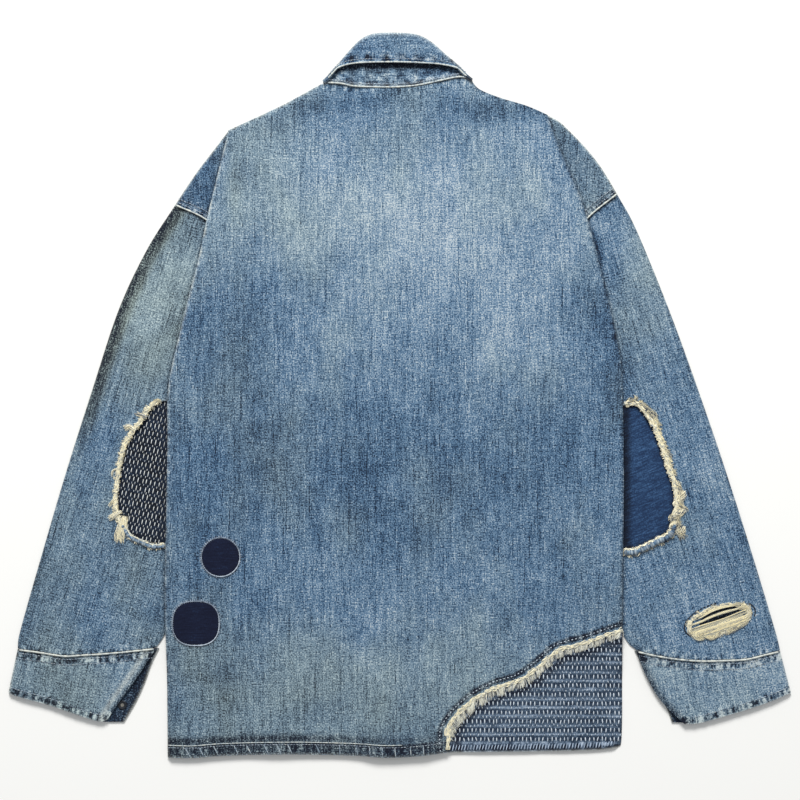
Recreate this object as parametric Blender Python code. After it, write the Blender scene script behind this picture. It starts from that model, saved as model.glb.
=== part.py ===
"""Patched denim work jacket, lying flat on its front with its back up.

Sizes are in millimetres and become metres once, where a mesh is made. X runs across
the jacket, Y from the hem to the collar, and Z up from the surface that it lies on.
The origin is on that surface, under the middle of the jacket. Left and right are the
wearer's, so the left sleeve is on the -X side. Each piece that a maker would cut is a
wall of cloth of its own. The body lies on the inner parts of both sleeves.
"""

import math

import bmesh
import bpy
import numpy as np
from mathutils import Vector
from mathutils.bvhtree import BVHTree
from mathutils.geometry import delaunay_2d_cdt

MM = 0.001

# Cloth thickness, and the gap that is kept between two pieces
CLOTH = 1.2
PATCH_CLOTH = 1.0
CUFF_CLOTH = 1.8
COLLAR_CLOTH = 1.8
GAP = 0.3
SEAM_GAP = 0.4
CUFF_GAP = 0.9

# Heights of the layers over the surface
BODY_HOLLOW = 2.2       # from the fronts up to the back
LAP_RISE = 1.9          # right front where it laps the left one
WING_RISE = 1.6         # fronts where they lie on the collar's wings
ARMHOLE_RISE = 3.0      # back where it folds over the armhole
OVER_SLEEVE_RISE = 4.6  # both panels where they lie on a sleeve
SLEEVE_TUCKED = 4.0     # top of a sleeve under the body
SLEEVE_EDGE = 3.2       # top of a sleeve beside its folded edges
SLEEVE_LOFT = 1.8       # what the middle of a sleeve adds to that
CUFF_EDGE = 3.9
CUFF_LOFT = 1.1
SHOULDER_TOP = 4.8      # folded shoulder, outside the back's fold
ELBOW_PATCH_TOP = 2.5
HEM_BAND = 18.0         # height of the turned hem
HEM_RISE = 0.5
SEAM_BAND = 7.0         # width of a felled seam
SEAM_RISE = 0.6

# Rounded edges: how far in from the edge they start, and how far they drop
CURL_WIDTH = 6.0
SIDE_DROP = 2.6
ARMHOLE_DROP = 1.2

# Mesh sizes
EDGE_STEP = 14.0
BACK_STEP = 27.0
FRONT_STEP = 46.0
SMALL_STEP = 16.0

# Outlines of the body, from the hem up to the shoulder fold
LEFT_SIDE = [(-255, -398), (-256, -300), (-258, -230), (-257, -160), (-255, -60), (-254, 10),
             (-238, 83), (-220, 154), (-212, 193), (-204, 226), (-188, 291)]
LEFT_SHOULDER = [(-188, 291), (-166, 301), (-130, 318), (-99, 335), (-86, 342)]
NECK = [(-86, 342), (-66, 341), (-50, 338), (-29, 337), (-4, 337), (20, 339), (44, 344), (62, 347.8),
        (72, 347.6), (80, 344.2)]
RIGHT_SHOULDER = [(80, 344.2), (88, 336), (110, 327), (139, 318), (162, 308)]
RIGHT_SIDE = [(162, 308), (176, 270), (196, 224), (206, 194), (220, 142), (238, 63), (244, 17),
              (246, -95), (245, -200), (244.5, -258)]
RIGHT_LOWER_SIDE = [(244.5, -258), (244, -372), (240, -386.5)]
TEAR = [(52, -392.5), (53, -366), (75, -340), (103, -323), (131, -314), (154, -298), (174, -281),
        (202, -273), (230, -263), (244.5, -258)]
LEFT_HEM = [(-255, -398), (-226, -398.5), (-192, -396), (-120, -394.5), (-50, -396), (-16, -398),
            (20, -396.5), (52, -392.5)]
RIGHT_HEM = [(52, -392.5), (68, -392.5), (162, -391.2), (220, -389.5), (240, -386.5)]

# Sleeves, cuffs and what is folded under the back at each armhole
DROP_EDGE = {
    "left": [(-188, 291), (-204, 270), (-221, 248), (-236, 226), (-247, 209)],
    "right": [(162, 308), (175, 301), (185, 292), (206, 270), (223, 248), (239, 221)],
}
ARMHOLE = {
    "left": [(-247, 209), (-212, 192), (-187, 163), (-169, 100), (-164, 20), (-166, -30), (-172, -70)],
    "right": [(239, 221), (206, 194), (184, 163), (167, 100), (162, 20), (163, -30), (167, -70)],
}
SLEEVE_OUTER = {
    "left": [(-247, 209), (-278, 160), (-309, 94), (-338, 6), (-366, -82), (-392, -170), (-417, -258),
             (-420, -278)],
    "right": [(239, 221), (260, 182), (296, 94), (328, 6), (358, -82), (386, -170), (412.5, -258),
              (418, -280)],
}
SLEEVE_INNER = {
    "left": [(-172, -70), (-215, -185), (-258, -262), (-268, -277)],
    "right": [(167, -70), (205, -185), (246, -264), (260, -280)],
}
CUFF_SEAM = {
    "left": [(-420, -278), (-396, -281), (-369, -285), (-348, -284), (-317, -282), (-268, -277)],
    "right": [(418, -280), (400, -284), (381, -288.5), (356, -290), (331, -290.5), (305, -288.5),
              (280, -284.5), (260, -280)],
}
CUFF_OUTER = {"left": [(-420, -278), (-430, -325)], "right": [(418, -280), (430, -326)]}
CUFF_HEM_OVER = {
    "left": [(-430, -325), (-422, -329.5), (-387, -339), (-352, -351), (-330, -357.5), (-321, -355)],
    "right": [(430, -326), (406, -336), (381, -344.5), (356, -352), (330, -359), (313, -360.5)],
}
CUFF_HEM_UNDER = {
    "left": [(-430, -325), (-422, -329.5), (-387, -339), (-352, -351), (-330, -357.5), (-303, -358)],
    "right": [(430, -326), (406, -336), (381, -344.5), (356, -352), (330, -359), (299, -358.5)],
}
CUFF_VENT_OVER = {
    "left": [(-268, -277), (-278, -293), (-290, -311), (-306, -333), (-321, -355)],
    "right": [(260, -280), (270, -306), (287, -335), (313, -360.5)],
}
CUFF_VENT_UNDER = {
    "left": [(-264.5, -277), (-272, -292), (-280, -314), (-289, -334), (-303, -358)],
    "right": [(258, -280), (271, -302), (284, -325), (295, -347), (299, -358.5)],
}
SHOULDER_HIDDEN = {
    "left": [(-187, 172), (-178, 186), (-172, 225), (-170, 265), (-172, 289)],
    "right": [(184, 174), (173, 192), (160, 230), (152, 270), (150, 300)],
}
ELBOW_HOLE = {
    "left": [(-263, -7), (-274, -16), (-284, -31), (-295, -46), (-302, -61), (-306, -80), (-308, -96),
             (-310, -113), (-308, -129), (-301, -143), (-295, -153), (-283, -159), (-269, -164),
             (-252, -160), (-236, -145), (-226, -115), (-224, -75), (-232, -35), (-247, -10)],
    "right": [(247, -11), (260, -11), (266, -17), (277, -33), (285, -53), (293, -78), (300, -98),
              (302, -117), (299, -138), (294, -151), (282, -157), (268, -164), (254, -169),
              (238, -165), (222, -148), (212, -115), (212, -75), (220, -38), (232, -17)],
}
ELBOW_FRAY_POINTS = 14  # of each hole's points, those that the fray follows
ELBOW_UNDERLAP = 9.0

# Hidden outlines: each front, and the wings of the collar that lie under them
UNDERARM_NOTCH = {"left": (-181.8, -96.2), "right": (175.8, -96.6)}
FRONT_SIDE = {
    "left": [(-249.5, -394), (-250.5, -300), (-252, -230), (-251.5, -160), (-249.5, -71)],
    "right": [(233, -383), (237, -366), (238, -300), (239, -200), (240, -95), (240.5, -76)],
}
FRONT_UNDERARM = {
    "left": [(-249.5, -71), (-181.8, -96.2), (-179, -97.3), (-169.5, -71)],
    "right": [(240.5, -76), (175.8, -96.6), (173, -97.5), (164.4, -71)],
}
FRONT_DROP = {
    "left": [(-240, 211), (-229, 229), (-215, 246), (-199, 264), (-184, 284)],
    "right": [(232, 221), (217, 246), (202, 265), (182, 287), (172, 295)],
}
FRONT_SHOULDER = {
    "left": [(-184, 284), (-164, 294), (-127, 311), (-97, 328), (-88, 333)],
    "right": [(172, 295), (160, 301), (137, 311), (108, 320), (85, 328), (80, 333)],
}
FRONT_NECK = {
    "left": [(-88, 333), (-80, 300), (-58, 268), (-28, 254), (0, 251)],
    "right": [(80, 333), (76, 300), (56, 268), (28, 254), (0, 251)],
}
FRONT_LAP = 15.0
WING_INNER = {
    "left": [(-88, 339), (-84, 300), (-62, 266), (-30, 250), (-4, 246)],
    "right": [(79, 340), (80, 300), (60, 266), (30, 250), (4, 246)],
}
WING_OUTER = {
    "left": [(-4, 246), (-32, 196), (-92, 236), (-118, 300), (-104, 326), (-88, 339)],
    "right": [(4, 246), (32, 196), (92, 236), (116, 300), (100, 324), (79, 340)],
}

# Collar: its fold at the top, and the free edge of its fall
COLLAR_FOLD = [(-84, 347), (-76, 355), (-56, 378), (-43, 391), (-30, 397.2), (-12, 398.5), (10, 397.8),
               (23, 395), (36, 387.5), (49, 376), (62, 365), (72, 355), (79, 348.5)]
COLLAR_FALL = [(-84, 346), (-75, 354.5), (-66, 360), (-55, 363.3), (-38, 365), (-2, 365.5), (35, 364),
               (50, 362.2), (63, 359), (72, 354), (79, 346)]
COLLAR_STATIONS = 19
COLLAR_FOLD_RADIUS = 3.6
COLLAR_TOP = 8.4

# Trims
ROUND_PATCHES = {
    "upper": ((-196.6, -177.5), (20.8, 21.1), 2.0),
    "lower": ((-223.8, -250.3), (25.2, 24.1), 2.5),
}
ROUND_PATCH_POINTS = 20
SASHIKO_UNDERLAP = 14.0
RIP_CENTRE = (350, -248)
RIP_HALF = (29.0, 9.0)
RIP_TURN = math.radians(16)
RIP_THREADS = 7
BUTTON_CENTRE = (-305, -340.5)
BUTTON_RADIUS = 5.0
FRAY_THICK = 0.8
FRAY_STRIP = 2.4
LOCK_WIDTH = 2.8
LOCK_GAP = 1.9

# Soft creases: ends, half-width, and rise or fall of the cloth
BACK_CREASES = [((-252, -34), (-226, -58), 8, -0.9), ((-150, 255), (-196, 160), 16, 0.7),
                ((150, 262), (208, 120), 16, 0.7), ((20, -70), (44, -130), 14, -0.6)]
SLEEVE_CREASES = [((216, 172), (252, 96), 9, -1.1), ((-262, 168), (-300, 70), 9, -0.7),
                  ((322, -20), (352, -120), 14, 0.6), ((-300, -190), (-330, -250), 14, 0.6)]

DENIM_BLUE = (0.19, 0.28, 0.38, 1)
DENIM_DARK = (0.05, 0.09, 0.16, 1)
INDIGO = (0.012, 0.017, 0.045, 1)
CREAM = (0.78, 0.75, 0.62, 1)
STEEL = (0.62, 0.60, 0.55, 1)


def smooth_step(t):
    """0 to 1 with flat ends, for t from 0 to 1."""
    t = np.clip(t, 0, 1)
    return t * t * (3 - 2 * t)


def evenly(line, step):
    """The same line with points about one step apart."""
    line = np.asarray(line, float)
    run = np.concatenate([[0], np.cumsum(np.linalg.norm(np.diff(line, axis=0), axis=1))])
    count = max(1, round(run[-1] / step))
    at = np.linspace(0, run[-1], count + 1)
    return np.column_stack([np.interp(at, run, line[:, i]) for i in range(2)])


def curve(points, step=EDGE_STEP, closed=False):
    """A smooth curve through hand-set points, with a point about every step."""
    p = np.asarray(points, float)
    if closed:
        p = np.vstack([p[-1:], p, p[:2]])
    else:
        p = np.vstack([2 * p[0] - p[1], p, 2 * p[-1] - p[-2]])
    dense = []
    for a, b, c, d in zip(p, p[1:], p[2:], p[3:]):
        for t in np.arange(0, 1, 0.1):
            dense.append(0.5 * (2 * b + (c - a) * t + (2 * a - 5 * b + 4 * c - d) * t ** 2
                                + (3 * b - a - 3 * c + d) * t ** 3))
    dense.append(p[-2])
    even = evenly(dense, step)
    return even[:-1] if closed else even


def joined(*lines):
    """One closed loop from lines that meet end to end."""
    kept = []
    for line in lines:
        for point in line:
            if not kept or math.dist(kept[-1], point) > 0.05:
                kept.append(tuple(point))
    if math.dist(kept[0], kept[-1]) < 0.05:
        kept.pop()
    return np.array(kept)


def distance(points, line):
    """Distance of each point from a line of points."""
    a, run = line[:-1], np.diff(line, axis=0)
    rel = points[:, None] - a[None]
    t = np.clip((rel * run).sum(2) / np.maximum((run * run).sum(1), 1e-9), 0, 1)
    return np.linalg.norm(rel - t[..., None] * run, axis=2).min(1)


def inside(points, loop):
    """True for each point that lies inside a closed loop."""
    x, y = points.T
    hit = np.zeros(len(points), bool)
    for (x0, y0), (x1, y1) in zip(loop, np.roll(loop, -1, axis=0)):
        if y0 != y1:
            hit ^= ((y0 > y) != (y1 > y)) & (x < x0 + (y - y0) * (x1 - x0) / (y1 - y0))
    return hit


def depth(points, loop):
    """Distance from the edge of a closed loop, and less than nothing outside it."""
    loop = np.asarray(loop, float)
    return np.where(inside(points, loop), 1, -1) * distance(points, np.vstack([loop, loop[:1]]))


def offset(line, by):
    """The line moved sideways, to the left of the way it runs."""
    line = np.asarray(line, float)
    run = np.gradient(line, axis=0)
    run /= np.linalg.norm(run, axis=1)[:, None]
    return line + by * np.column_stack([-run[:, 1], run[:, 0]])


def offset_loop(loop, by):
    """A closed loop moved sideways."""
    wrapped = np.vstack([loop[-1:], loop, loop[:1]])
    return offset(wrapped, by)[1:-1]


def crease(points, creases):
    """Rise and fall of soft creases at each point."""
    total = np.zeros(len(points))
    for start, end, half, rise in creases:
        line = evenly([start, end], 8)
        total += rise * np.exp(-(distance(points, line) / half) ** 2)
    return total


LEFT_EDGE = np.vstack([curve(LEFT_SIDE), curve(LEFT_SHOULDER)[1:]])
RIGHT_EDGE = np.vstack([curve(RIGHT_SHOULDER), curve(RIGHT_SIDE)[1:], curve(RIGHT_LOWER_SIDE)[1:]])
HEM_LINE = np.vstack([curve(LEFT_HEM), curve(RIGHT_HEM)[1:]])
TEAR_LINE = curve(TEAR, 8)
BODY = joined(LEFT_EDGE, curve(NECK), RIGHT_EDGE, HEM_LINE[::-1])
FAR = 500


def sleeve_region(side):
    """Where a sleeve or a folded shoulder lies under the back."""
    sign = -1 if side == "left" else 1
    top = [(sign * FAR, 310), (sign * 150, 310), (sign * 146, 240), (sign * 150, 165), (sign * 154, 20),
           (sign * 158, -50)]
    inner = SLEEVE_INNER[side]
    return np.array(top + inner + [(sign * FAR, inner[-1][1])], float)


def overlap_region(side):
    """Where the front lies on the sleeve too, below the underarm."""
    sign = -1 if side == "left" else 1
    inner = SLEEVE_INNER[side]
    outboard = [(sign * FAR, inner[-1][1]), (sign * FAR, 16)]
    return np.array([UNDERARM_NOTCH[side]] + inner[1:] + outboard, float)


def wing_loop(side):
    """Outline of a collar wing."""
    return joined(curve(WING_INNER[side]), evenly(WING_OUTER[side], EDGE_STEP))


def back_rise(points):
    """How far the sleeves and the lap lift the back."""
    rise = LAP_RISE * smooth_step((48 - np.abs(points[:, 0])) / 24)
    for side in ("left", "right"):
        under = smooth_step((depth(points, sleeve_region(side)) + 45) / 45)
        over = smooth_step((depth(points, overlap_region(side)) + 45) / 45)
        rise = np.maximum(rise, ARMHOLE_RISE * under + (OVER_SLEEVE_RISE - ARMHOLE_RISE) * over)
    return rise


def curl(away, drop):
    """How far a rounded edge has dropped at a distance from it."""
    t = np.clip(1 - away / CURL_WIDTH, 0, 1)
    return drop * (1 - np.sqrt(1 - t * t))


def back_under(points):
    """Underside of the back."""
    away = np.minimum(distance(points, LEFT_EDGE), distance(points, RIGHT_EDGE))
    drop = SIDE_DROP - (SIDE_DROP - ARMHOLE_DROP) * smooth_step((points[:, 1] + 130) / 80)
    return CLOTH + BODY_HOLLOW + back_rise(points) - curl(away, drop) + crease(points, BACK_CREASES)


def back_top(points):
    """Upper side of the back, with its turned hem."""
    hem = distance(points, HEM_LINE) < HEM_BAND
    return back_under(points) + CLOTH + HEM_RISE * hem


def front_top(points, side):
    """Upper side of a front."""
    rise = OVER_SLEEVE_RISE * smooth_step((depth(points, overlap_region(side)) + 25) / 25)
    for wing in ("left", "right"):
        rise = np.maximum(rise, WING_RISE * smooth_step((depth(points, wing_loop(wing)) + 27) / 20))
    if side == "right":
        rise += LAP_RISE * smooth_step((45 - points[:, 0]) / 25)
    return rise + CLOTH


def sleeve_top(points, side):
    """Upper side of a sleeve, pressed flatter where the body lies on it."""
    outer, inner = curve(SLEEVE_OUTER[side]), curve(SLEEVE_INNER[side])
    away = np.minimum(distance(points, outer), distance(points, inner))
    free = SLEEVE_EDGE + SLEEVE_LOFT * smooth_step(away / 30) + crease(points, SLEEVE_CREASES)
    tucked = smooth_step((depth(points, BODY) + 18) / 18)
    return free * (1 - tucked) + np.minimum(free, SLEEVE_TUCKED) * tucked


def material(name, colour, roughness, metallic=0.0):
    """A plain finish."""
    made = bpy.data.materials.new(name)
    made.use_nodes = True
    shader = made.node_tree.nodes["Principled BSDF"]
    shader.inputs["Base Color"].default_value = colour
    shader.inputs["Roughness"].default_value = roughness
    shader.inputs["Metallic"].default_value = metallic
    return made


def add_object(name, points, faces, finish, smooth_angle=40):
    """One closed solid, from points in millimetres."""
    mesh = bpy.data.meshes.new(name)
    mesh.from_pydata([Vector(p) * MM for p in points], [], faces)
    shape = bmesh.new()
    shape.from_mesh(mesh)
    bmesh.ops.recalc_face_normals(shape, faces=shape.faces)
    shape.to_mesh(mesh)
    shape.free()
    mesh.shade_smooth()
    mesh.set_sharp_from_angle(angle=math.radians(smooth_angle))
    mesh.materials.append(finish)
    made = bpy.data.objects.new(name, mesh)
    made.parent = jacket
    bpy.context.scene.collection.objects.link(made)
    return made


def triangulate(outline, step, extra=(), loops=()):
    """Triangles over an outline. Extra points and the edges of inner loops are kept."""
    lines = [outline, *loops]
    edges, start = [], 0
    for line in lines:
        edges += [(start + i, start + (i + 1) % len(line)) for i in range(len(line))]
        start += len(line)
    low, high = outline.min(0), outline.max(0)
    rows = np.arange(low[1], high[1], step * math.sqrt(3) / 2)
    grid = np.array([(x + (i % 2) * step / 2, y) for i, y in enumerate(rows)
                     for x in np.arange(low[0], high[0], step)])
    grid = grid[depth(grid, outline) > 0.5 * step]
    kept = [p for p in extra if depth(p[None], outline)[0] > 0.4]
    extra = np.array(kept).reshape(-1, 2)
    if len(extra):
        near = np.linalg.norm(grid[:, None] - extra[None], axis=2).min(1)
        grid = grid[near > 0.45 * step]
    for loop in loops:
        grid = grid[np.abs(depth(grid, loop)) > 0.35 * step]
    every = np.vstack([*lines, extra, grid])
    points, _, faces, *_ = delaunay_2d_cdt([Vector(p) for p in every], edges, [], 0, 1e-4)
    points = np.array([tuple(p) for p in points])
    faces = np.array([f for f in faces])
    faces = faces[inside(points[faces].mean(1), outline)]
    a, b, c = (points[faces[:, i]] for i in range(3))
    turned = (b[:, 0] - a[:, 0]) * (c[:, 1] - a[:, 1]) - (b[:, 1] - a[:, 1]) * (c[:, 0] - a[:, 0]) < 0
    faces[turned] = faces[turned][:, ::-1]
    return points, faces


def slab(name, points, faces, top, thick, finish):
    """A wall of cloth: the triangles at their top heights, and again one thickness lower."""
    used = np.unique(faces)
    new = {old: i for i, old in enumerate(used)}
    faces = [[new[i] for i in f] for f in faces]
    flat, top = points[used], np.asarray(top)[used]
    upper = np.column_stack([flat, top])
    lower = np.column_stack([flat, top - thick])
    n = len(used)
    count = {}
    for f in faces:
        for i in range(3):
            count[(f[i], f[(i + 1) % 3])] = True
    rim = [(a, b) for a, b in count if (b, a) not in count]
    sides = [(b, a, a + n, b + n) for a, b in rim]
    faces = faces + [[i + n for i in f[::-1]] for f in faces] + sides
    return add_object(name, np.vstack([upper, lower]), faces, finish)


def wall(name, outer, inner, closed, finish):
    """A wall between two sets of rings. A closed one is a tube, an open one a folded strip."""
    outer, inner = np.asarray(outer), np.asarray(inner)
    rings, around = outer.shape[:2]
    points = np.vstack([outer.reshape(-1, 3), inner.reshape(-1, 3)])
    n = rings * around
    spans = [(k, (k + 1) % around) for k in range(around if closed else around - 1)]
    faces = []
    for j in range(rings - 1):
        here, on = j * around, (j + 1) * around
        for k, m in spans:
            quad = [here + k, here + m, on + m, on + k]
            faces += [quad, [i + n for i in quad[::-1]]]
        if not closed:
            faces += [[here + k, on + k, on + k + n, here + k + n] for k in (0, around - 1)]
    for here in (0, n - around):
        faces += [[here + k, here + m, here + m + n, here + k + n] for k, m in spans]
    return add_object(name, points, faces, finish)


def spread(line, shares):
    """Points of a smooth curve at shares of its length."""
    dense = curve(line, 2)
    run = np.concatenate([[0], np.cumsum(np.linalg.norm(np.diff(dense, axis=0), axis=1))])
    at = np.asarray(shares) * run[-1]
    return np.column_stack([np.interp(at, run, dense[:, i]) for i in range(2)])


def between(top, bottom, outer, inner, across, along):
    """Grid of points filled in between four edges: rows along, columns from outer to inner."""
    t, b = spread(top, across)[None], spread(bottom, across)[None]
    o, i = spread(outer, along)[:, None], spread(inner, along)[:, None]
    u, v = np.asarray(across)[None, :, None], np.asarray(along)[:, None, None]
    top_corners = (1 - u) * t[:, :1] + u * t[:, -1:]
    bottom_corners = (1 - u) * b[:, :1] + u * b[:, -1:]
    return (1 - v) * (t - top_corners) + v * (b - bottom_corners) + (1 - u) * o + u * i


def lift(grid, height):
    """A grid of flat points at a height, or at one height for each point."""
    flat = grid.reshape(-1, 2)
    return np.column_stack([flat, np.broadcast_to(height, len(flat))]).reshape(*grid.shape[:2], 3)


def edge_inside(edge, neighbour, thick):
    """The inner side of a folded edge, one thickness in from it."""
    run = neighbour[:, :2] - edge[:, :2]
    run /= np.linalg.norm(run, axis=1)[:, None]
    return np.column_stack([edge[:, :2] + run * thick, edge[:, 2]])


def make_sleeve(side, finish):
    """A sleeve: a flat tube from the armhole seam to the cuff seam."""
    across = np.concatenate([[0, 0.02], np.linspace(0.1, 0.9, 9), [0.98, 1]])
    along = np.linspace(0, 1, 15)
    grid = between(ARMHOLE[side], CUFF_SEAM[side], SLEEVE_OUTER[side], SLEEVE_INNER[side], across, along)
    height = sleeve_top(grid.reshape(-1, 2), side).reshape(grid.shape[:2])
    top, low = lift(grid, height.ravel()), lift(grid, 0)
    top_in, low_in = lift(grid, height.ravel() - CLOTH), lift(grid, CLOTH)
    for rows in (top, top_in):
        rows[:, 0, 2] = height[:, 1] / 2
        rows[:, -1, 2] = height[:, -2] / 2
    top_in[:, 0] = edge_inside(top[:, 0], top[:, 1], CLOTH)
    top_in[:, -1] = edge_inside(top[:, -1], top[:, -2], CLOTH)
    outer = np.concatenate([top, low[:, -2:0:-1]], axis=1)
    inner = np.concatenate([top_in, low_in[:, -2:0:-1]], axis=1)
    return wall(f"sleeve_{side}", outer, inner, True, finish)


def cut_through(target, loop, low, high):
    """Cuts a hole of the loop's outline between two heights."""
    count = len(loop)
    points = np.vstack([np.column_stack([loop, np.full(count, z)]) for z in (low, high)])
    faces = [list(range(count)), list(range(2 * count - 1, count - 1, -1))]
    faces += [[i, (i + 1) % count, (i + 1) % count + count, i + count] for i in range(count)]
    tool = add_object(f"{target.name}_cutter", points, faces, target.data.materials[0])
    tool.hide_render = True
    tool.display_type = "WIRE"
    cut = target.modifiers.new("hole", "BOOLEAN")
    cut.operation = "DIFFERENCE"
    cut.object = tool


def make_cuff(side, finish):
    """A cuff of two plies, folded at its outer edge and open at its vent."""
    across = np.concatenate([[0, 0.03], np.linspace(0.15, 1, 7)])
    along = np.linspace(0, 1, 5)
    fold = CUFF_OUTER[side]
    over = between(CUFF_SEAM[side], CUFF_HEM_OVER[side], fold, CUFF_VENT_OVER[side], across, along)
    seam_under = CUFF_SEAM[side][:-1] + [CUFF_VENT_UNDER[side][0]]
    under = between(seam_under, CUFF_HEM_UNDER[side], fold, CUFF_VENT_UNDER[side], across, along)
    over[:, :, 1] -= CUFF_GAP
    under[:, :, 1] -= CUFF_GAP
    away = distance(over.reshape(-1, 2), np.asarray(fold, float)).reshape(over.shape[:2])
    height = CUFF_EDGE + CUFF_LOFT * smooth_step(away / 25)
    top, low = lift(over, height.ravel()), lift(under, 0)
    top_in, low_in = lift(over, height.ravel() - CUFF_CLOTH), lift(under, CUFF_CLOTH)
    top[:, 0, 2] = height[:, 1] / 2
    top_in[:, 0] = edge_inside(top[:, 0], top[:, 1], CUFF_CLOTH)
    outer = np.concatenate([top[:, ::-1], low[:, 1:]], axis=1)
    inner = np.concatenate([top_in[:, ::-1], low_in[:, 1:]], axis=1)
    return wall(f"cuff_{side}", outer, inner, False, finish)


def make_front(side, finish):
    """A front, from its lap to the side seam, armhole and shoulder fold."""
    sign = -1 if side == "left" else 1
    armhole = curve(ARMHOLE[side])[::-1]
    armhole = offset(armhole, -SEAM_GAP if side == "left" else SEAM_GAP)
    armhole = armhole[(np.abs(armhole[:, 0]) < abs(FRONT_DROP[side][0][0])) & (armhole[:, 1] > -68)]
    lap = -sign * FRONT_LAP
    down = np.concatenate([np.linspace(251, 150, 8), np.linspace(150, -394, 13)[1:]])
    front_edge = [(lap, y) for y in down]
    hem = evenly([(-lap, -394), FRONT_SIDE[side][0]], FRONT_STEP / 1.5)
    outline = joined([(lap, -394)], hem, curve(FRONT_SIDE[side], 22), evenly(FRONT_UNDERARM[side][:2], 10),
                     FRONT_UNDERARM[side][1:], armhole, curve(FRONT_DROP[side], 22),
                     curve(FRONT_SHOULDER[side], 22), curve(FRONT_NECK[side], 18), front_edge)
    over = overlap_region(side)
    rows = [offset(evenly(SLEEVE_INNER[side], 20), -sign * by) for by in (0, 10, 25)]
    rows += [np.column_stack([np.full(len(down), x), down]) for x in (-lap, 45)]
    rows += [offset(evenly(WING_OUTER[wing], EDGE_STEP), turn * by)
             for wing, turn in (("left", 1), ("right", -1)) for by in (6, 26)]
    points, faces = triangulate(outline, FRONT_STEP, np.vstack(rows))
    height = front_top(points, side)
    height[distance(points, over[:2]) < 0.1] = CLOTH + OVER_SLEEVE_RISE
    return slab(f"front_{side}", points, faces, height, CLOTH, finish)


def make_shoulder(side, finish):
    """The part of the back that folds under itself and drops over the shoulder."""
    seam = curve(ARMHOLE[side], 6)
    seam = seam[seam[:, 1] > SHOULDER_HIDDEN[side][0][1] + 4]
    seam = offset(seam, SEAM_GAP if side == "left" else -SEAM_GAP)
    drop = curve(DROP_EDGE[side])
    outline = joined(drop[:-1], seam, curve(SHOULDER_HIDDEN[side], 22))
    rows = [offset(drop, (1 if side == "left" else -1) * by) for by in (1.5, CURL_WIDTH)]
    rows.append(offset(seam, (1 if side == "left" else -1) * SEAM_BAND))
    points, faces = triangulate(outline, SMALL_STEP * 1.5, np.vstack(rows))
    height = SHOULDER_TOP - curl(distance(points, drop), SIDE_DROP)
    height += SEAM_RISE * (distance(points, seam) < 1) * (depth(points, BODY) < -5)
    return slab(f"shoulder_{side}", points, faces, height, CLOTH, finish)


def round_loop(centre, half, power, count):
    """A round outline, squarer for a higher power."""
    turn = np.linspace(0, 2 * math.pi, count, endpoint=False)
    c, s = np.cos(turn), np.sin(turn)
    return np.column_stack([centre[0] + half[0] * np.sign(c) * np.abs(c) ** (2 / power),
                            centre[1] + half[1] * np.sign(s) * np.abs(s) ** (2 / power)])


def make_back(denim, indigo):
    """The back and its two round patches, which are made from its own points."""
    outline = joined(LEFT_EDGE, curve(NECK), curve(RIGHT_SHOULDER), curve(RIGHT_SIDE), TEAR_LINE[::-1],
                     curve(LEFT_HEM)[::-1])
    patches = {name: round_loop(*spec, ROUND_PATCH_POINTS) for name, spec in ROUND_PATCHES.items()}
    right = np.vstack([curve(RIGHT_SHOULDER), curve(RIGHT_SIDE)[1:]])
    rows = [offset(line, -by) for line in (LEFT_EDGE, right) for by in (1.5, CURL_WIDTH)]
    rows += [offset(TEAR_LINE, by) for by in (4.0, 12.0)]
    rows += [offset(curve(LEFT_HEM), by) for by in (HEM_BAND - 1, HEM_BAND + 1)]
    points, faces = triangulate(outline, BACK_STEP, np.vstack(rows), list(patches.values()))
    height = back_top(points)
    back = slab("back", points, faces, height, CLOTH, denim)
    middle = points[faces].mean(1)
    for name, loop in patches.items():
        laid = faces[inside(middle, loop)]
        slab(f"round_patch_{name}", points, laid, height + GAP + PATCH_CLOTH, PATCH_CLOTH, indigo)
    return back


def make_sashiko(finish):
    """The stitched corner that shows below the torn edge of the back."""
    lapped = offset(TEAR_LINE, SASHIKO_UNDERLAP)
    lapped = lapped[lapped[:, 0] < 232]
    below = offset(TEAR_LINE, -SEAM_GAP)[-2:]
    outline = joined(lapped, below, curve(RIGHT_LOWER_SIDE)[1:], curve(RIGHT_HEM)[::-1],
                     evenly([RIGHT_HEM[0], lapped[0]], EDGE_STEP))
    rows = [offset(curve(RIGHT_LOWER_SIDE), -by) for by in (1.5, CURL_WIDTH)]
    rows += [offset(evenly(SLEEVE_INNER["right"], 20), -by) for by in (0, 10, 25, 45)]
    rows.append(TEAR_LINE)
    points, faces = triangulate(outline, BACK_STEP, np.vstack(rows))
    height = np.maximum(back_under(points) - GAP - 0.1, PATCH_CLOTH + 0.1)
    return slab("sashiko_corner", points, faces, height, PATCH_CLOTH, finish)


def make_elbow_patch(side, finish):
    """The patch inside a sleeve, behind the hole at the elbow."""
    loop = curve(ELBOW_HOLE[side], 12, closed=True)
    area = ((loop[:, 0] * np.roll(loop[:, 1], -1)) - (loop[:, 1] * np.roll(loop[:, 0], -1))).sum()
    outline = offset_loop(loop, -ELBOW_UNDERLAP if area > 0 else ELBOW_UNDERLAP)
    points, faces = triangulate(outline, FRONT_STEP)
    height = np.full(len(points), ELBOW_PATCH_TOP)
    return slab(f"elbow_patch_{side}", points, faces, height, PATCH_CLOTH, finish)


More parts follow.
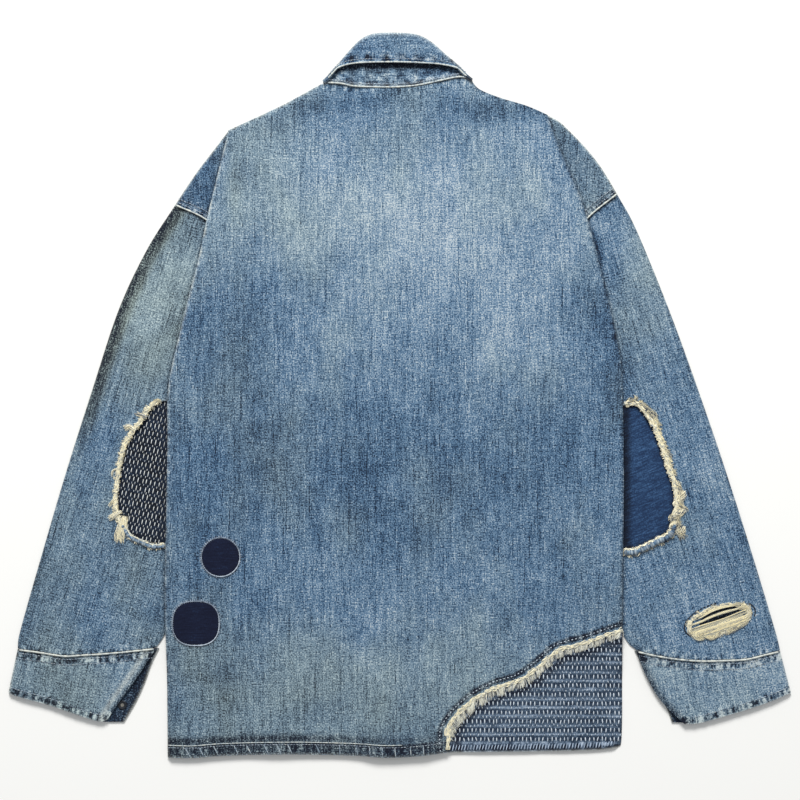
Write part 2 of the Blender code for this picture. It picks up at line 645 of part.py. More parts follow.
def make_collar(finish):
    """The collar at the back of the neck: a stand that folds over into a fall."""
    shares = np.linspace(0, 1, COLLAR_STATIONS)
    x = COLLAR_FOLD[0][0] + shares * (COLLAR_FOLD[-1][0] - COLLAR_FOLD[0][0])
    fold, fall, seam = (np.interp(x, *curve(line, 2).T) for line in (COLLAR_FOLD, COLLAR_FALL, NECK))
    start = CLOTH + BODY_HOLLOW
    turn = np.radians(np.linspace(-90, 90, 5))
    outer, inner = [], []
    for xi, top, edge, low in zip(x, fold, fall, seam + SEAM_GAP):
        radius = min(COLLAR_FOLD_RADIUS, (top - low) / 2.2)
        thick = min(COLLAR_CLOTH, 0.8 * radius)
        round_y = top - radius
        outer_yz = [(low, start), ((low + round_y) / 2, start / 3)]
        inner_yz = [(low, start + thick), ((low + round_y) / 2, start / 3 + thick)]
        outer_yz += [(round_y + radius * math.cos(a), COLLAR_FOLD_RADIUS * (1 + math.sin(a))) for a in turn]
        inner_yz += [(round_y + (radius - thick) * math.cos(a),
                      COLLAR_FOLD_RADIUS + (COLLAR_FOLD_RADIUS - thick) * math.sin(a)) for a in turn]
        edge = min(edge, round_y - 0.8)
        outer_yz.append((edge, COLLAR_TOP))
        inner_yz.append((edge, COLLAR_TOP - thick))
        outer.append([(xi, y, z) for y, z in outer_yz])
        inner.append([(xi, y, z) for y, z in inner_yz])
    return wall("collar_back", outer, inner, False, finish)


def make_wing(side, finish):
    """The front part of the collar, which lies under the front."""
    outline = wing_loop(side)
    points, faces = triangulate(outline, FRONT_STEP)
    return slab(f"collar_wing_{side}", points, faces, np.full(len(points), CLOTH), CLOTH, finish)


def heights_on(target, points, clear):
    """Heights just clear of the upper side of a solid, under each point."""
    target_tree = BVHTree.FromObject(target, bpy.context.evaluated_depsgraph_get())
    found = []
    for x, y in points:
        hit = target_tree.ray_cast(Vector((x, y, 50)) * MM, Vector((0, 0, -1)))[0]
        found.append(hit.z / MM + clear if hit else np.nan)
    found = np.array(found)
    known = ~np.isnan(found)
    return np.interp(np.arange(len(found)), np.flatnonzero(known), found[known])


def make_fray(name, edge, outward, lengths, strip_z, tip_z, finish):
    """A narrow strip along a torn edge, with locks of thread that stand out from it.

    The strip runs along edge, outward points away from it at each point, and every
    second span of its outer side is drawn out into a lock.
    """
    count = len(edge)
    shape = bmesh.new()
    rows = []
    for i in range(count):
        out = outward[i]
        near, far = edge[i] - out * FRAY_STRIP / 2, edge[i] + out * FRAY_STRIP / 2
        z = strip_z[i]
        corners = [(*near, z), (*far, z), (*far, z + FRAY_THICK), (*near, z + FRAY_THICK)]
        rows.append([shape.verts.new(c) for c in corners])
    for i in range(count - 1):
        a, b = rows[i], rows[i + 1]
        for k in (0, 2, 3):
            shape.faces.new([a[k], a[(k + 1) % 4], b[(k + 1) % 4], b[k]])
        side = [a[1], a[2], b[2], b[1]]
        if i % 2:
            shape.faces.new(side)
            continue
        reach = lengths[i // 2]
        out = (outward[i] + outward[i + 1]) / 2
        middle = (edge[i] + edge[i + 1]) / 2
        root = middle + out * FRAY_STRIP / 2
        knee = []
        for vert in side:
            moved = root + out * 0.55 * reach + 0.75 * (np.array(vert.co[:2]) - root)
            raised = strip_z[i] + 0.2 + 0.7 * (vert.co.z - strip_z[i])
            knee.append(shape.verts.new((*moved, raised)))
        tip = shape.verts.new((*(root + out * reach), tip_z[i // 2]))
        for k in range(4):
            shape.faces.new([side[k], side[(k + 1) % 4], knee[(k + 1) % 4], knee[k]])
            shape.faces.new([knee[k], knee[(k + 1) % 4], tip])
    shape.faces.new(rows[0])
    shape.faces.new(rows[-1][::-1])
    shape.verts.index_update()
    points = np.array([v.co for v in shape.verts])
    faces = [[v.index for v in f.verts] for f in shape.faces]
    shape.free()
    return add_object(name, points, faces, finish)


def lock_spans(line):
    """The line cut into spans, wide and narrow in turn, so that it ends with a wide one."""
    line = np.asarray(line, float)
    run = np.concatenate([[0], np.cumsum(np.linalg.norm(np.diff(line, axis=0), axis=1))])
    pairs = int((run[-1] - LOCK_WIDTH) / (LOCK_WIDTH + LOCK_GAP))
    at = np.cumsum([0] + [LOCK_WIDTH, LOCK_GAP] * pairs + [LOCK_WIDTH])
    return np.column_stack([np.interp(at, run, line[:, i]) for i in range(2)])


def lock_lengths(count, short, long):
    """Lengths of locks, which vary by a fixed rule."""
    i = np.arange(count)
    return short + (long - short) * (0.5 + 0.3 * np.sin(i * 2.4) + 0.2 * np.sin(i * 5.3 + 1))


def outward_from(line, sign):
    """Unit arrows to one side of a line."""
    run = np.gradient(line, axis=0)
    run /= np.linalg.norm(run, axis=1)[:, None]
    return sign * np.column_stack([-run[:, 1], run[:, 0]])


def make_hem_fray(back, finish):
    """The frayed edge of the back above the stitched corner."""
    edge = lock_spans(offset(curve(TEAR, 2), 1.8))[:-2]
    outward = outward_from(edge, -1)
    seat = heights_on(back, edge, GAP + 0.15)
    lengths = lock_lengths(len(edge) // 2, 9, 14)
    return make_fray("fray_hem", edge, outward, lengths, seat, seat[::2] - 0.5, finish)


def make_elbow_fray(side, sleeve, finish):
    """The frayed edge of an elbow hole, turned back on to the sleeve."""
    sign = 1 if side == "right" else -1
    edge = offset(curve(ELBOW_HOLE[side][:ELBOW_FRAY_POINTS], 2), sign * 2.4)
    edge = lock_spans(edge[depth(edge, BODY) < -3])
    outward = outward_from(edge, sign)
    seat = heights_on(sleeve, edge, GAP + 0.15)
    lengths = lock_lengths(len(edge) // 2, 4, 8)
    reach = edge[:-1:2] + outward[:-1:2] * (FRAY_STRIP / 2 + lengths[:, None])
    tips = np.maximum(heights_on(sleeve, reach, GAP + 0.2), seat[:-1:2] - 0.2)
    return make_fray(f"fray_elbow_{side}", edge, outward, lengths, seat, tips, finish)


def turned(points, centre, angle):
    """Points turned about the origin and moved to a centre."""
    c, s = math.cos(angle), math.sin(angle)
    return np.asarray(points) @ np.array([[c, s], [-s, c]]) + centre


def make_rip(sleeve, finish):
    """The rip above the right cuff: a frayed ring, with loose weft threads across the hole."""
    ring = round_loop((0, 0), (RIP_HALF[0] + 4, RIP_HALF[1] + 4), 2, 40)
    inner = round_loop((0, 0), (RIP_HALF[0] + 1, RIP_HALF[1] + 1), 2, 40)
    seat = heights_on(sleeve, turned(ring, RIP_CENTRE, RIP_TURN), GAP + 0.15)
    shape = bmesh.new()
    rows = []
    for outer_flat, inner_flat, z in zip(ring, inner, seat):
        flat = [outer_flat, inner_flat, inner_flat, outer_flat]
        rise = [z, z, z + FRAY_THICK, z + FRAY_THICK]
        moved = turned(flat, RIP_CENTRE, RIP_TURN)
        rows.append([shape.verts.new((*p, h)) for p, h in zip(moved, rise)])
    count = len(rows)
    threads = [1, 3, 5, 35, 37, 39, 7][:RIP_THREADS]
    opposite = {k: (19 - k) % count for k in threads}
    skipped = set(threads) | set(opposite.values())
    for i in range(count):
        a, b = rows[i], rows[(i + 1) % count]
        for k in range(4):
            if k == 1 and i in skipped:
                continue
            shape.faces.new([a[k], a[(k + 1) % 4], b[(k + 1) % 4], b[k]])
    for i, far in opposite.items():
        start = [rows[i][1], rows[i][2], rows[(i + 1) % count][2], rows[(i + 1) % count][1]]
        end = [rows[(far + 1) % count][1], rows[(far + 1) % count][2], rows[far][2], rows[far][1]]
        middle = [shape.verts.new((a.co + b.co) / 2 + Vector((0, 0, 0.3))) for a, b in zip(start, end)]
        for near, far_side in ((start, middle), (middle, end)):
            for k in range(4):
                shape.faces.new([near[k], near[(k + 1) % 4], far_side[(k + 1) % 4], far_side[k]])
    shape.verts.index_update()
    points = np.array([v.co for v in shape.verts])
    faces = [[v.index for v in f.verts] for f in shape.faces]
    shape.free()
    return add_object("rip_threads", points, faces, finish)


def make_button(finish):
    """The metal back of a cuff button, on the inner side of the left cuff."""
    loop = round_loop(BUTTON_CENTRE, (BUTTON_RADIUS, BUTTON_RADIUS), 2, 16)
    points, faces = triangulate(loop, FRONT_STEP)
    low = CUFF_CLOTH + 0.2
    return slab("cuff_button", points, faces, np.full(len(points), low + 0.8), 0.8, finish)


def main():
    """Makes every piece of the jacket."""
    denim = material("washed_denim", DENIM_BLUE, 0.9)
    sashiko = material("sashiko_cloth", DENIM_DARK, 0.9)
    indigo = material("indigo_cloth", INDIGO, 0.85)
    cotton = material("frayed_cotton", CREAM, 0.95)
    steel = material("button_steel", STEEL, 0.35, 1.0)
    back = make_back(denim, indigo)
    make_sashiko(sashiko)
    make_hem_fray(back, cotton)
    for side in ("left", "right"):
        make_front(side, denim)
        make_shoulder(side, denim)
        sleeve = make_sleeve(side, denim)
        hole = curve(ELBOW_HOLE[side], 10, closed=True)
        make_elbow_fray(side, sleeve, cotton)
        if side == "right":
            make_rip(sleeve, cotton)
            rip = turned(round_loop((0, 0), RIP_HALF, 2, 20), RIP_CENTRE, RIP_TURN)
            cut_through(sleeve, rip, 2.0, 12.0)
        cut_through(sleeve, hole, 2.0, 12.0)
        make_elbow_patch(side, sashiko if side == "left" else indigo)
        make_cuff(side, denim)
        make_wing(side, denim)
    make_collar(denim)
    make_button(steel)


for old in list(bpy.data.objects):
    bpy.data.objects.remove(old)
jacket = bpy.data.objects.new("jacket", None)
bpy.context.scene.collection.objects.link(jacket)
main()
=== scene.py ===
"""Looks of a patched denim jacket that lies flat on its front, with its back up.

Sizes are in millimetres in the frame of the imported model, and become metres once,
where a mesh is made. X runs across the jacket, Y from the hem to the collar and Z
up. Left and right are the wearer's, so the left sleeve is on the -X side. The
outlines repeat those of the solids, because each piece of cloth stands where its
solid does. The last whole number in a call of wavy, rumpled, Seam or along is its
seed, which keeps that wave, ground or row the same on each run.
"""

import logging
import math
from collections.abc import Callable, Sequence
from dataclasses import dataclass, field
from enum import Enum

import bpy
import numpy as np
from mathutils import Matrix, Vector
from mathutils.geometry import delaunay_2d_cdt


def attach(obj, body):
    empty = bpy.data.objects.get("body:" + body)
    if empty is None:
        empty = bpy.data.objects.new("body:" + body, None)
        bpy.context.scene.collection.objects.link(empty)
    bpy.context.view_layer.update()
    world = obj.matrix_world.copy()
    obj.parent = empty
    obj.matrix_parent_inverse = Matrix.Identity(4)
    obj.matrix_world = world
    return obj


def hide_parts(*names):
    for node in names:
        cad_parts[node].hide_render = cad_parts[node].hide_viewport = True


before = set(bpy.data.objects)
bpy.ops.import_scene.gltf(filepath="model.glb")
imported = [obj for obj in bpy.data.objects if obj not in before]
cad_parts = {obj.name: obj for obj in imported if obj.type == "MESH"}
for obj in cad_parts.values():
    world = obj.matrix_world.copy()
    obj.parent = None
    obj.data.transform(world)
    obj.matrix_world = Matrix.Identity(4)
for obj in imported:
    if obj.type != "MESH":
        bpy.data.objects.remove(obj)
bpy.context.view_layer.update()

log = logging.getLogger("jacket")

Array = np.ndarray
Line = list[tuple[float, float]]
Ground = Callable[[Array], Array]

MM = 0.001
UP = np.array([0.0, 0.0, 1.0])
CHUNK = 4000  # points that are measured against a line at once


class Side(Enum):
    """The wearer's left, towards -X, or right, towards +X."""

    LEFT = "left"
    RIGHT = "right"

    @property
    def sign(self) -> int:
        """-1 on the left and 1 on the right."""
        return -1 if self is Side.LEFT else 1


class Slot(Enum):
    """Names of material slots; no piece is given one here."""

    DENIM = "denim"
    SASHIKO = "sashiko"
    INDIGO = "indigo"
    COTTON = "cotton"
    BUTTON = "button"


# Cloth thickness, and the gap that is kept between two pieces
CLOTH = 1.2  # of the body and the sleeves
PATCH_CLOTH = 1.0
CUFF_CLOTH = 1.8
COLLAR_CLOTH = 1.8
GAP = 0.3
SEAM_GAP = 0.4
CUFF_GAP = 0.9

# Rows of mesh points: how far they lie from a rounded edge, and the step along a seam
EDGE_ROWS = (0.7, 1.6, 2.8, 4.4, 6.4)
SEAM_STEP = 2.4

# A stitch along its length: its points, how it arches, and how it thins towards its ends
STITCH = np.linspace(-0.5, 0.5, 5)
ARCH = 1 - 3 * STITCH ** 2
SPINDLE = np.array([0.4, 0.95, 1.0, 0.95, 0.4])

# How far the underside's grain is moved, so that it differs from the upper side's
UNDERSIDE_SHIFT = np.array([3.0, 5.0, 40.0])

# Outlines of the body, from the hem up to the shoulder fold
LEFT_SIDE = [(-255, -398), (-256, -300), (-258, -230), (-257, -160), (-255, -60), (-254, 10),
             (-238, 83), (-220, 154), (-212, 193), (-204, 226), (-188, 291)]
LEFT_SHOULDER = [(-188, 291), (-166, 301), (-130, 318), (-99, 335), (-86, 342)]
NECK = [(-86, 342), (-66, 341), (-50, 338), (-29, 337), (-4, 337), (20, 339), (44, 344), (62, 347.8),
        (72, 347.6), (80, 344.2)]
RIGHT_SHOULDER = [(80, 344.2), (88, 336), (110, 327), (139, 318), (162, 308)]
RIGHT_SIDE = [(162, 308), (176, 270), (196, 224), (206, 194), (220, 142), (238, 63), (244, 17),
              (246, -95), (245, -200), (244.5, -258)]
RIGHT_LOWER_SIDE = [(244.5, -258), (244, -372), (240, -386.5)]
TEAR = [(52, -392.5), (53, -366), (75, -340), (103, -323), (131, -314), (154, -298), (174, -281),
        (202, -273), (230, -263), (244.5, -258)]
LEFT_HEM = [(-255, -398), (-226, -398.5), (-192, -396), (-120, -394.5), (-50, -396), (-16, -398),
            (20, -396.5), (52, -392.5)]
RIGHT_HEM = [(52, -392.5), (68, -392.5), (162, -391.2), (220, -389.5), (240, -386.5)]

# Sleeves, cuffs and what is folded under the back at each armhole
DROP_EDGE = {
    Side.LEFT: [(-188, 291), (-204, 270), (-221, 248), (-236, 226), (-247, 209)],
    Side.RIGHT: [(162, 308), (175, 301), (185, 292), (206, 270), (223, 248), (239, 221)],
}
ARMHOLE = {
    Side.LEFT: [(-247, 209), (-212, 192), (-187, 163), (-169, 100), (-164, 20), (-166, -30), (-172, -70)],
    Side.RIGHT: [(239, 221), (206, 194), (184, 163), (167, 100), (162, 20), (163, -30), (167, -70)],
}
SLEEVE_OUTER = {
    Side.LEFT: [(-247, 209), (-278, 160), (-309, 94), (-338, 6), (-366, -82), (-392, -170), (-417, -258),
             (-420, -278)],
    Side.RIGHT: [(239, 221), (260, 182), (296, 94), (328, 6), (358, -82), (386, -170), (412.5, -258),
              (418, -280)],
}
SLEEVE_INNER = {
    Side.LEFT: [(-172, -70), (-215, -185), (-258, -262), (-268, -277)],
    Side.RIGHT: [(167, -70), (205, -185), (246, -264), (260, -280)],
}
CUFF_SEAM = {
    Side.LEFT: [(-420, -278), (-396, -281), (-369, -285), (-348, -284), (-317, -282), (-268, -277)],
    Side.RIGHT: [(418, -280), (400, -284), (381, -288.5), (356, -290), (331, -290.5), (305, -288.5),
              (280, -284.5), (260, -280)],
}
CUFF_OUTER = {Side.LEFT: [(-420, -278), (-430, -325)], Side.RIGHT: [(418, -280), (430, -326)]}
CUFF_HEM_OVER = {
    Side.LEFT: [(-430, -325), (-422, -329.5), (-387, -339), (-352, -351), (-330, -357.5), (-321, -355)],
    Side.RIGHT: [(430, -326), (406, -336), (381, -344.5), (356, -352), (330, -359), (313, -360.5)],
}
CUFF_HEM_UNDER = {
    Side.LEFT: [(-430, -325), (-422, -329.5), (-387, -339), (-352, -351), (-330, -357.5), (-303, -358)],
    Side.RIGHT: [(430, -326), (406, -336), (381, -344.5), (356, -352), (330, -359), (299, -358.5)],
}
CUFF_VENT_OVER = {
    Side.LEFT: [(-268, -277), (-278, -293), (-290, -311), (-306, -333), (-321, -355)],
    Side.RIGHT: [(260, -280), (270, -306), (287, -335), (313, -360.5)],
}
CUFF_VENT_UNDER = {
    Side.LEFT: [(-264.5, -277), (-272, -292), (-280, -314), (-289, -334), (-303, -358)],
    Side.RIGHT: [(258, -280), (271, -302), (284, -325), (295, -347), (299, -358.5)],
}
SHOULDER_HIDDEN = {
    Side.LEFT: [(-187, 172), (-178, 186), (-172, 225), (-170, 265), (-172, 289)],
    Side.RIGHT: [(184, 174), (173, 192), (160, 230), (152, 270), (150, 300)],
}
ELBOW_HOLE = {
    Side.LEFT: [(-263, -7), (-274, -16), (-284, -31), (-295, -46), (-302, -61), (-306, -80), (-308, -96),
             (-310, -113), (-308, -129), (-301, -143), (-295, -153), (-283, -159), (-269, -164),
             (-252, -160), (-236, -145), (-226, -115), (-224, -75), (-232, -35), (-247, -10)],
    Side.RIGHT: [(247, -11), (260, -11), (266, -17), (277, -33), (285, -53), (293, -78), (300, -98),
              (302, -117), (299, -138), (294, -151), (282, -157), (268, -164), (254, -169),
              (238, -165), (222, -148), (212, -115), (212, -75), (220, -38), (232, -17)],
}
ELBOW_FRAY_POINTS = 14  # of each hole's points, those that the fray follows
ELBOW_UNDERLAP = 9.0

# Hidden outlines: each front, and the wings of the collar that lie under them
UNDERARM_NOTCH = {Side.LEFT: (-181.8, -96.2), Side.RIGHT: (175.8, -96.6)}
FRONT_SIDE = {
    Side.LEFT: [(-249.5, -394), (-250.5, -300), (-252, -230), (-251.5, -160), (-249.5, -71)],
    Side.RIGHT: [(233, -383), (237, -366), (238, -300), (239, -200), (240, -95), (240.5, -76)],
}
FRONT_UNDERARM = {
    Side.LEFT: [(-249.5, -71), (-181.8, -96.2), (-179, -97.3), (-169.5, -71)],
    Side.RIGHT: [(240.5, -76), (175.8, -96.6), (173, -97.5), (164.4, -71)],
}
FRONT_DROP = {
    Side.LEFT: [(-240, 211), (-229, 229), (-215, 246), (-199, 264), (-184, 284)],
    Side.RIGHT: [(232, 221), (217, 246), (202, 265), (182, 287), (172, 295)],
}
FRONT_SHOULDER = {
    Side.LEFT: [(-184, 284), (-164, 294), (-127, 311), (-97, 328), (-88, 333)],
    Side.RIGHT: [(172, 295), (160, 301), (137, 311), (108, 320), (85, 328), (80, 333)],
}
FRONT_NECK = {
    Side.LEFT: [(-88, 333), (-80, 300), (-58, 268), (-28, 254), (0, 251)],
    Side.RIGHT: [(80, 333), (76, 300), (56, 268), (28, 254), (0, 251)],
}
FRONT_LAP = 15.0
WING_INNER = {
    Side.LEFT: [(-88, 339), (-84, 300), (-62, 266), (-30, 250), (-4, 246)],
    Side.RIGHT: [(79, 340), (80, 300), (60, 266), (30, 250), (4, 246)],
}
WING_OUTER = {
    Side.LEFT: [(-4, 246), (-32, 196), (-92, 236), (-118, 300), (-104, 326), (-88, 339)],
    Side.RIGHT: [(4, 246), (32, 196), (92, 236), (116, 300), (100, 324), (79, 340)],
}

# Collar: its fold at the top, and the free edge of its fall
COLLAR_FOLD = [(-84, 347), (-76, 355), (-56, 378), (-43, 391), (-30, 397.2), (-12, 398.5), (10, 397.8),
               (23, 395), (36, 387.5), (49, 376), (62, 365), (72, 355), (79, 348.5)]
COLLAR_FALL = [(-84, 346), (-75, 354.5), (-66, 360), (-55, 363.3), (-38, 365), (-2, 365.5), (35, 364),
               (50, 362.2), (63, 359), (72, 354), (79, 346)]
COLLAR_FOLD_RADIUS = 3.6
COLLAR_TOP = 8.4

# Trims
ROUND_PATCHES = {
    "upper": ((-196.6, -177.5), (20.8, 21.1), 2.0),
    "lower": ((-223.8, -250.3), (25.2, 24.1), 2.5),
}
SASHIKO_UNDERLAP = 14.0
RIP_CENTRE = (352.0, -242.0)
RIP_HALF = (25.0, 8.5)
RIP_TURN = math.radians(16)
RIP_SLANT = math.radians(8)
WEFT_CENTRE = (351.5, -246.5)
WEFT_HALF = (35.0, 15.0)
BUTTON_CENTRE = (-305.0, -340.5)

# Soft creases: ends, half-width, and rise or fall of the cloth
BACK_CREASES = [((-252, -34), (-226, -58), 8, -0.9), ((-150, 255), (-196, 160), 16, 0.7),
                ((150, 262), (208, 120), 16, 0.7), ((20, -70), (44, -130), 14, -0.6)]
SLEEVE_CREASES = [((216, 172), (252, 96), 9, -1.1), ((-262, 168), (-300, 70), 9, -0.7),
                  ((322, -20), (352, -120), 14, 0.6), ((-300, -190), (-330, -250), 14, 0.6)]


def smooth_step(t: Array) -> Array:
    """0 to 1 with flat ends, for t from 0 to 1."""
    t = np.clip(t, 0, 1)
    return t * t * (3 - 2 * t)


def near(away: Array, reach: float, power: int = 2) -> Array:
    """1 at a line or place, falling off softly with the distance from it."""
    return np.exp(-(away / reach) ** power)


def lengths_along(line: Array) -> Array:
    """How far along a line of points each of them is."""
    return np.concatenate([[0], np.cumsum(np.linalg.norm(np.diff(line, axis=0), axis=1))])


def evenly(line: Array | Line, step: float) -> Array:
    """The same line with points about one step apart.

    Args:
        line: The line's points.
        step: How far apart the new points are.

    Returns:
        The new points, with both ends kept.
    """
    line = np.asarray(line, float)
    run = lengths_along(line)
    at = np.linspace(0, run[-1], max(1, round(run[-1] / step)) + 1)
    return np.column_stack([np.interp(at, run, line[:, i]) for i in range(line.shape[1])])


def curve(points: Array | Line, step: float = 4.0, closed: bool = False) -> Array:
    """A smooth curve through hand-set points.

    Args:
        points: The points that it passes.
        step: How far apart the points of the result are, in millimetres.
        closed: Whether it runs back to its start.

    Returns:
        The curve's points. A closed one doesn't repeat its first.
    """
    p = np.asarray(points, float)
    p = np.vstack([p[-1:], p, p[:2]]) if closed else np.vstack([2 * p[0] - p[1], p, 2 * p[-1] - p[-2]])
    dense = []
    for a, b, c, d in zip(p, p[1:], p[2:], p[3:]):
        for t in np.arange(0, 1, 0.1):
            dense.append(0.5 * (2 * b + (c - a) * t + (2 * a - 5 * b + 4 * c - d) * t ** 2
                                + (3 * b - a - 3 * c + d) * t ** 3))
    dense.append(p[-2])
    even = evenly(np.array(dense), step)
    return even[:-1] if closed else even


def joined(*lines: Array | Line) -> Array:
    """One closed loop from lines that meet end to end.

    Args:
        lines: The lines, in the order in which they follow each other.

    Returns:
        The loop's points, without those that would be there twice.
    """
    kept: list[tuple[float, float]] = []
    for line in lines:
        for point in line:
            if not kept or math.dist(kept[-1], point) > 0.3:
                kept.append(tuple(point))
    if math.dist(kept[0], kept[-1]) < 0.3:
        kept.pop()
    return np.array(kept)


def nearest(points: Array, line: Array) -> tuple[Array, Array]:
    """How far each point is from a line, and how far along the line its nearest place is.

    Args:
        points: The points, flat or in space.
        line: The line's points.

    Returns:
        Each point's distance, and its length along the line.
    """
    start, run = line[:-1], np.diff(line, axis=0)
    length = np.maximum(np.linalg.norm(run, axis=1), 1e-9)
    before = np.concatenate([[0], np.cumsum(length)[:-1]])
    far, along = np.empty(len(points)), np.empty(len(points))
    for low in range(0, len(points), CHUNK):
        part = points[low:low + CHUNK, None] - start[None]
        share = np.clip((part * run).sum(2) / length ** 2, 0, 1)
        away = np.linalg.norm(part - share[..., None] * run, axis=2)
        rows = np.arange(len(away))
        best = away.argmin(1)
        far[low:low + CHUNK] = away[rows, best]
        along[low:low + CHUNK] = before[best] + share[rows, best] * length[best]
    return far, along


def looped(loop: Array) -> Array:
    """A closed loop with its first point once more at its end."""
    return np.vstack([loop, loop[:1]])


def distance(points: Array, line: Array | Line) -> Array:
    """How far each point is from a line."""
    return nearest(points, np.asarray(line, float))[0]


def inside(points: Array, loop: Array) -> Array:
    """True for each point that lies inside a closed loop.

    Args:
        points: Flat points, in millimetres.
        loop: The closed loop.

    Returns:
        One truth value for each point.
    """
    x, y = points.T
    hit = np.zeros(len(points), bool)
    for (x0, y0), (x1, y1) in zip(loop, np.roll(loop, -1, axis=0)):
        if y0 != y1:
            hit ^= ((y0 > y) != (y1 > y)) & (x < x0 + (y - y0) * (x1 - x0) / (y1 - y0))
    return hit


def depth(points: Array, loop: Array) -> Array:
    """Distance from the edge of a closed loop, and less than nothing outside it."""
    loop = np.asarray(loop, float)
    return np.where(inside(points, loop), 1, -1) * distance(points, looped(loop))


def offset(line: Array | Line, by: float) -> Array:
    """The line moved sideways, to the left of the way it runs.

    Args:
        line: The line's points.
        by: How far it moves.

    Returns:
        The moved points.
    """
    line = np.asarray(line, float)
    run = np.gradient(line, axis=0)
    run /= np.maximum(np.linalg.norm(run, axis=1), 1e-9)[:, None]
    return line + by * np.column_stack([-run[:, 1], run[:, 0]])


def beside(line: Array, side: int, distances: Sequence[float], step: float = 0.0) -> list[Array]:
    """Rows of mesh points along a line.

    Args:
        line: The line.
        side: 1 for the left of the way it runs, and -1 for the right.
        distances: How far from the line each row is.
        step: How far apart a row's points are, or 0 for as far as the line's.

    Returns:
        The rows.
    """
    rows = [offset(line, side * far) for far in distances]
    return [evenly(row, step) for row in rows] if step else rows


def area_of(loop: Array) -> float:
    """The area inside a closed loop, less than nothing if it runs clockwise."""
    x, y = loop.T
    return float((x * np.roll(y, -1) - y * np.roll(x, -1)).sum() / 2)


def offset_loop(loop: Array, outward: float) -> Array:
    """A closed loop grown by a distance, or shrunk where that is less than nothing."""
    wrapped = np.vstack([loop[-1:], loop, loop[:1]])
    return offset(wrapped, -outward if area_of(loop) > 0 else outward)[1:-1]


def turned(points: Array, angle: float, centre: tuple[float, float] = (0, 0)) -> Array:
    """Points turned about the origin and then moved to a centre."""
    c, s = math.cos(angle), math.sin(angle)
    return np.asarray(points) @ np.array([[c, s], [-s, c]]) + centre


def round_loop(centre: tuple[float, float], half: tuple[float, float], power: float = 2.0,
               count: int = 60) -> Array:
    """A round outline, squarer for a higher power.

    Args:
        centre: Its middle.
        half: Half its width and height.
        power: 2 for an ellipse, more for squarer.
        count: How many points it has.

    Returns:
        The loop's points, anticlockwise.
    """
    turn = np.linspace(0, 2 * math.pi, count, endpoint=False)
    c, s = np.cos(turn), np.sin(turn)
    return np.column_stack([centre[0] + half[0] * np.sign(c) * np.abs(c) ** (2 / power),
                            centre[1] + half[1] * np.sign(s) * np.abs(s) ** (2 / power)])


def creased(points: Array, creases: list) -> Array:
    """Rise and fall of soft creases at each point.

    Args:
        points: Flat points, in millimetres.
        creases: The two ends, half-width and rise of each.

    Returns:
        The height that they add.
    """
    total = np.zeros(len(points))
    for start, end, half, rise in creases:
        total += rise * near(distance(points, evenly([start, end], 8)), half)
    return total


def wavy(at: Array, pitch: float, seed: int) -> Array:
    """An uneven wave from about -1 to 1 along a line, as puckered cloth has.

    Args:
        at: Lengths along the line.
        pitch: About how long a wave is.
        seed: Starts the random numbers.

    Returns:
        The wave at each length.
    """
    rng = np.random.default_rng(seed)
    total = np.zeros(np.shape(at))
    for _ in range(7):
        total += np.sin(2 * math.pi * at / (pitch * rng.uniform(0.55, 2.2)) + rng.uniform(0, 6.3))
    return total / 2.6


def rumpled(points: Array, size: float, seed: int) -> Array:
    """Soft uneven ground from about -1 to 1, with humps of about a size.

    Args:
        points: Flat points, in millimetres.
        size: About how wide a hump is.
        seed: Starts the random numbers.

    Returns:
        The ground's height at each point.
    """
    rng = np.random.default_rng(seed)
    total = np.zeros(len(points))
    for _ in range(14):
        turn, wave = rng.uniform(0, math.pi), size * rng.uniform(1.2, 3.5)
        along = points[:, 0] * math.cos(turn) + points[:, 1] * math.sin(turn)
        total += np.sin(2 * math.pi * along / wave + rng.uniform(0, 6.3))
    return total / 3.6


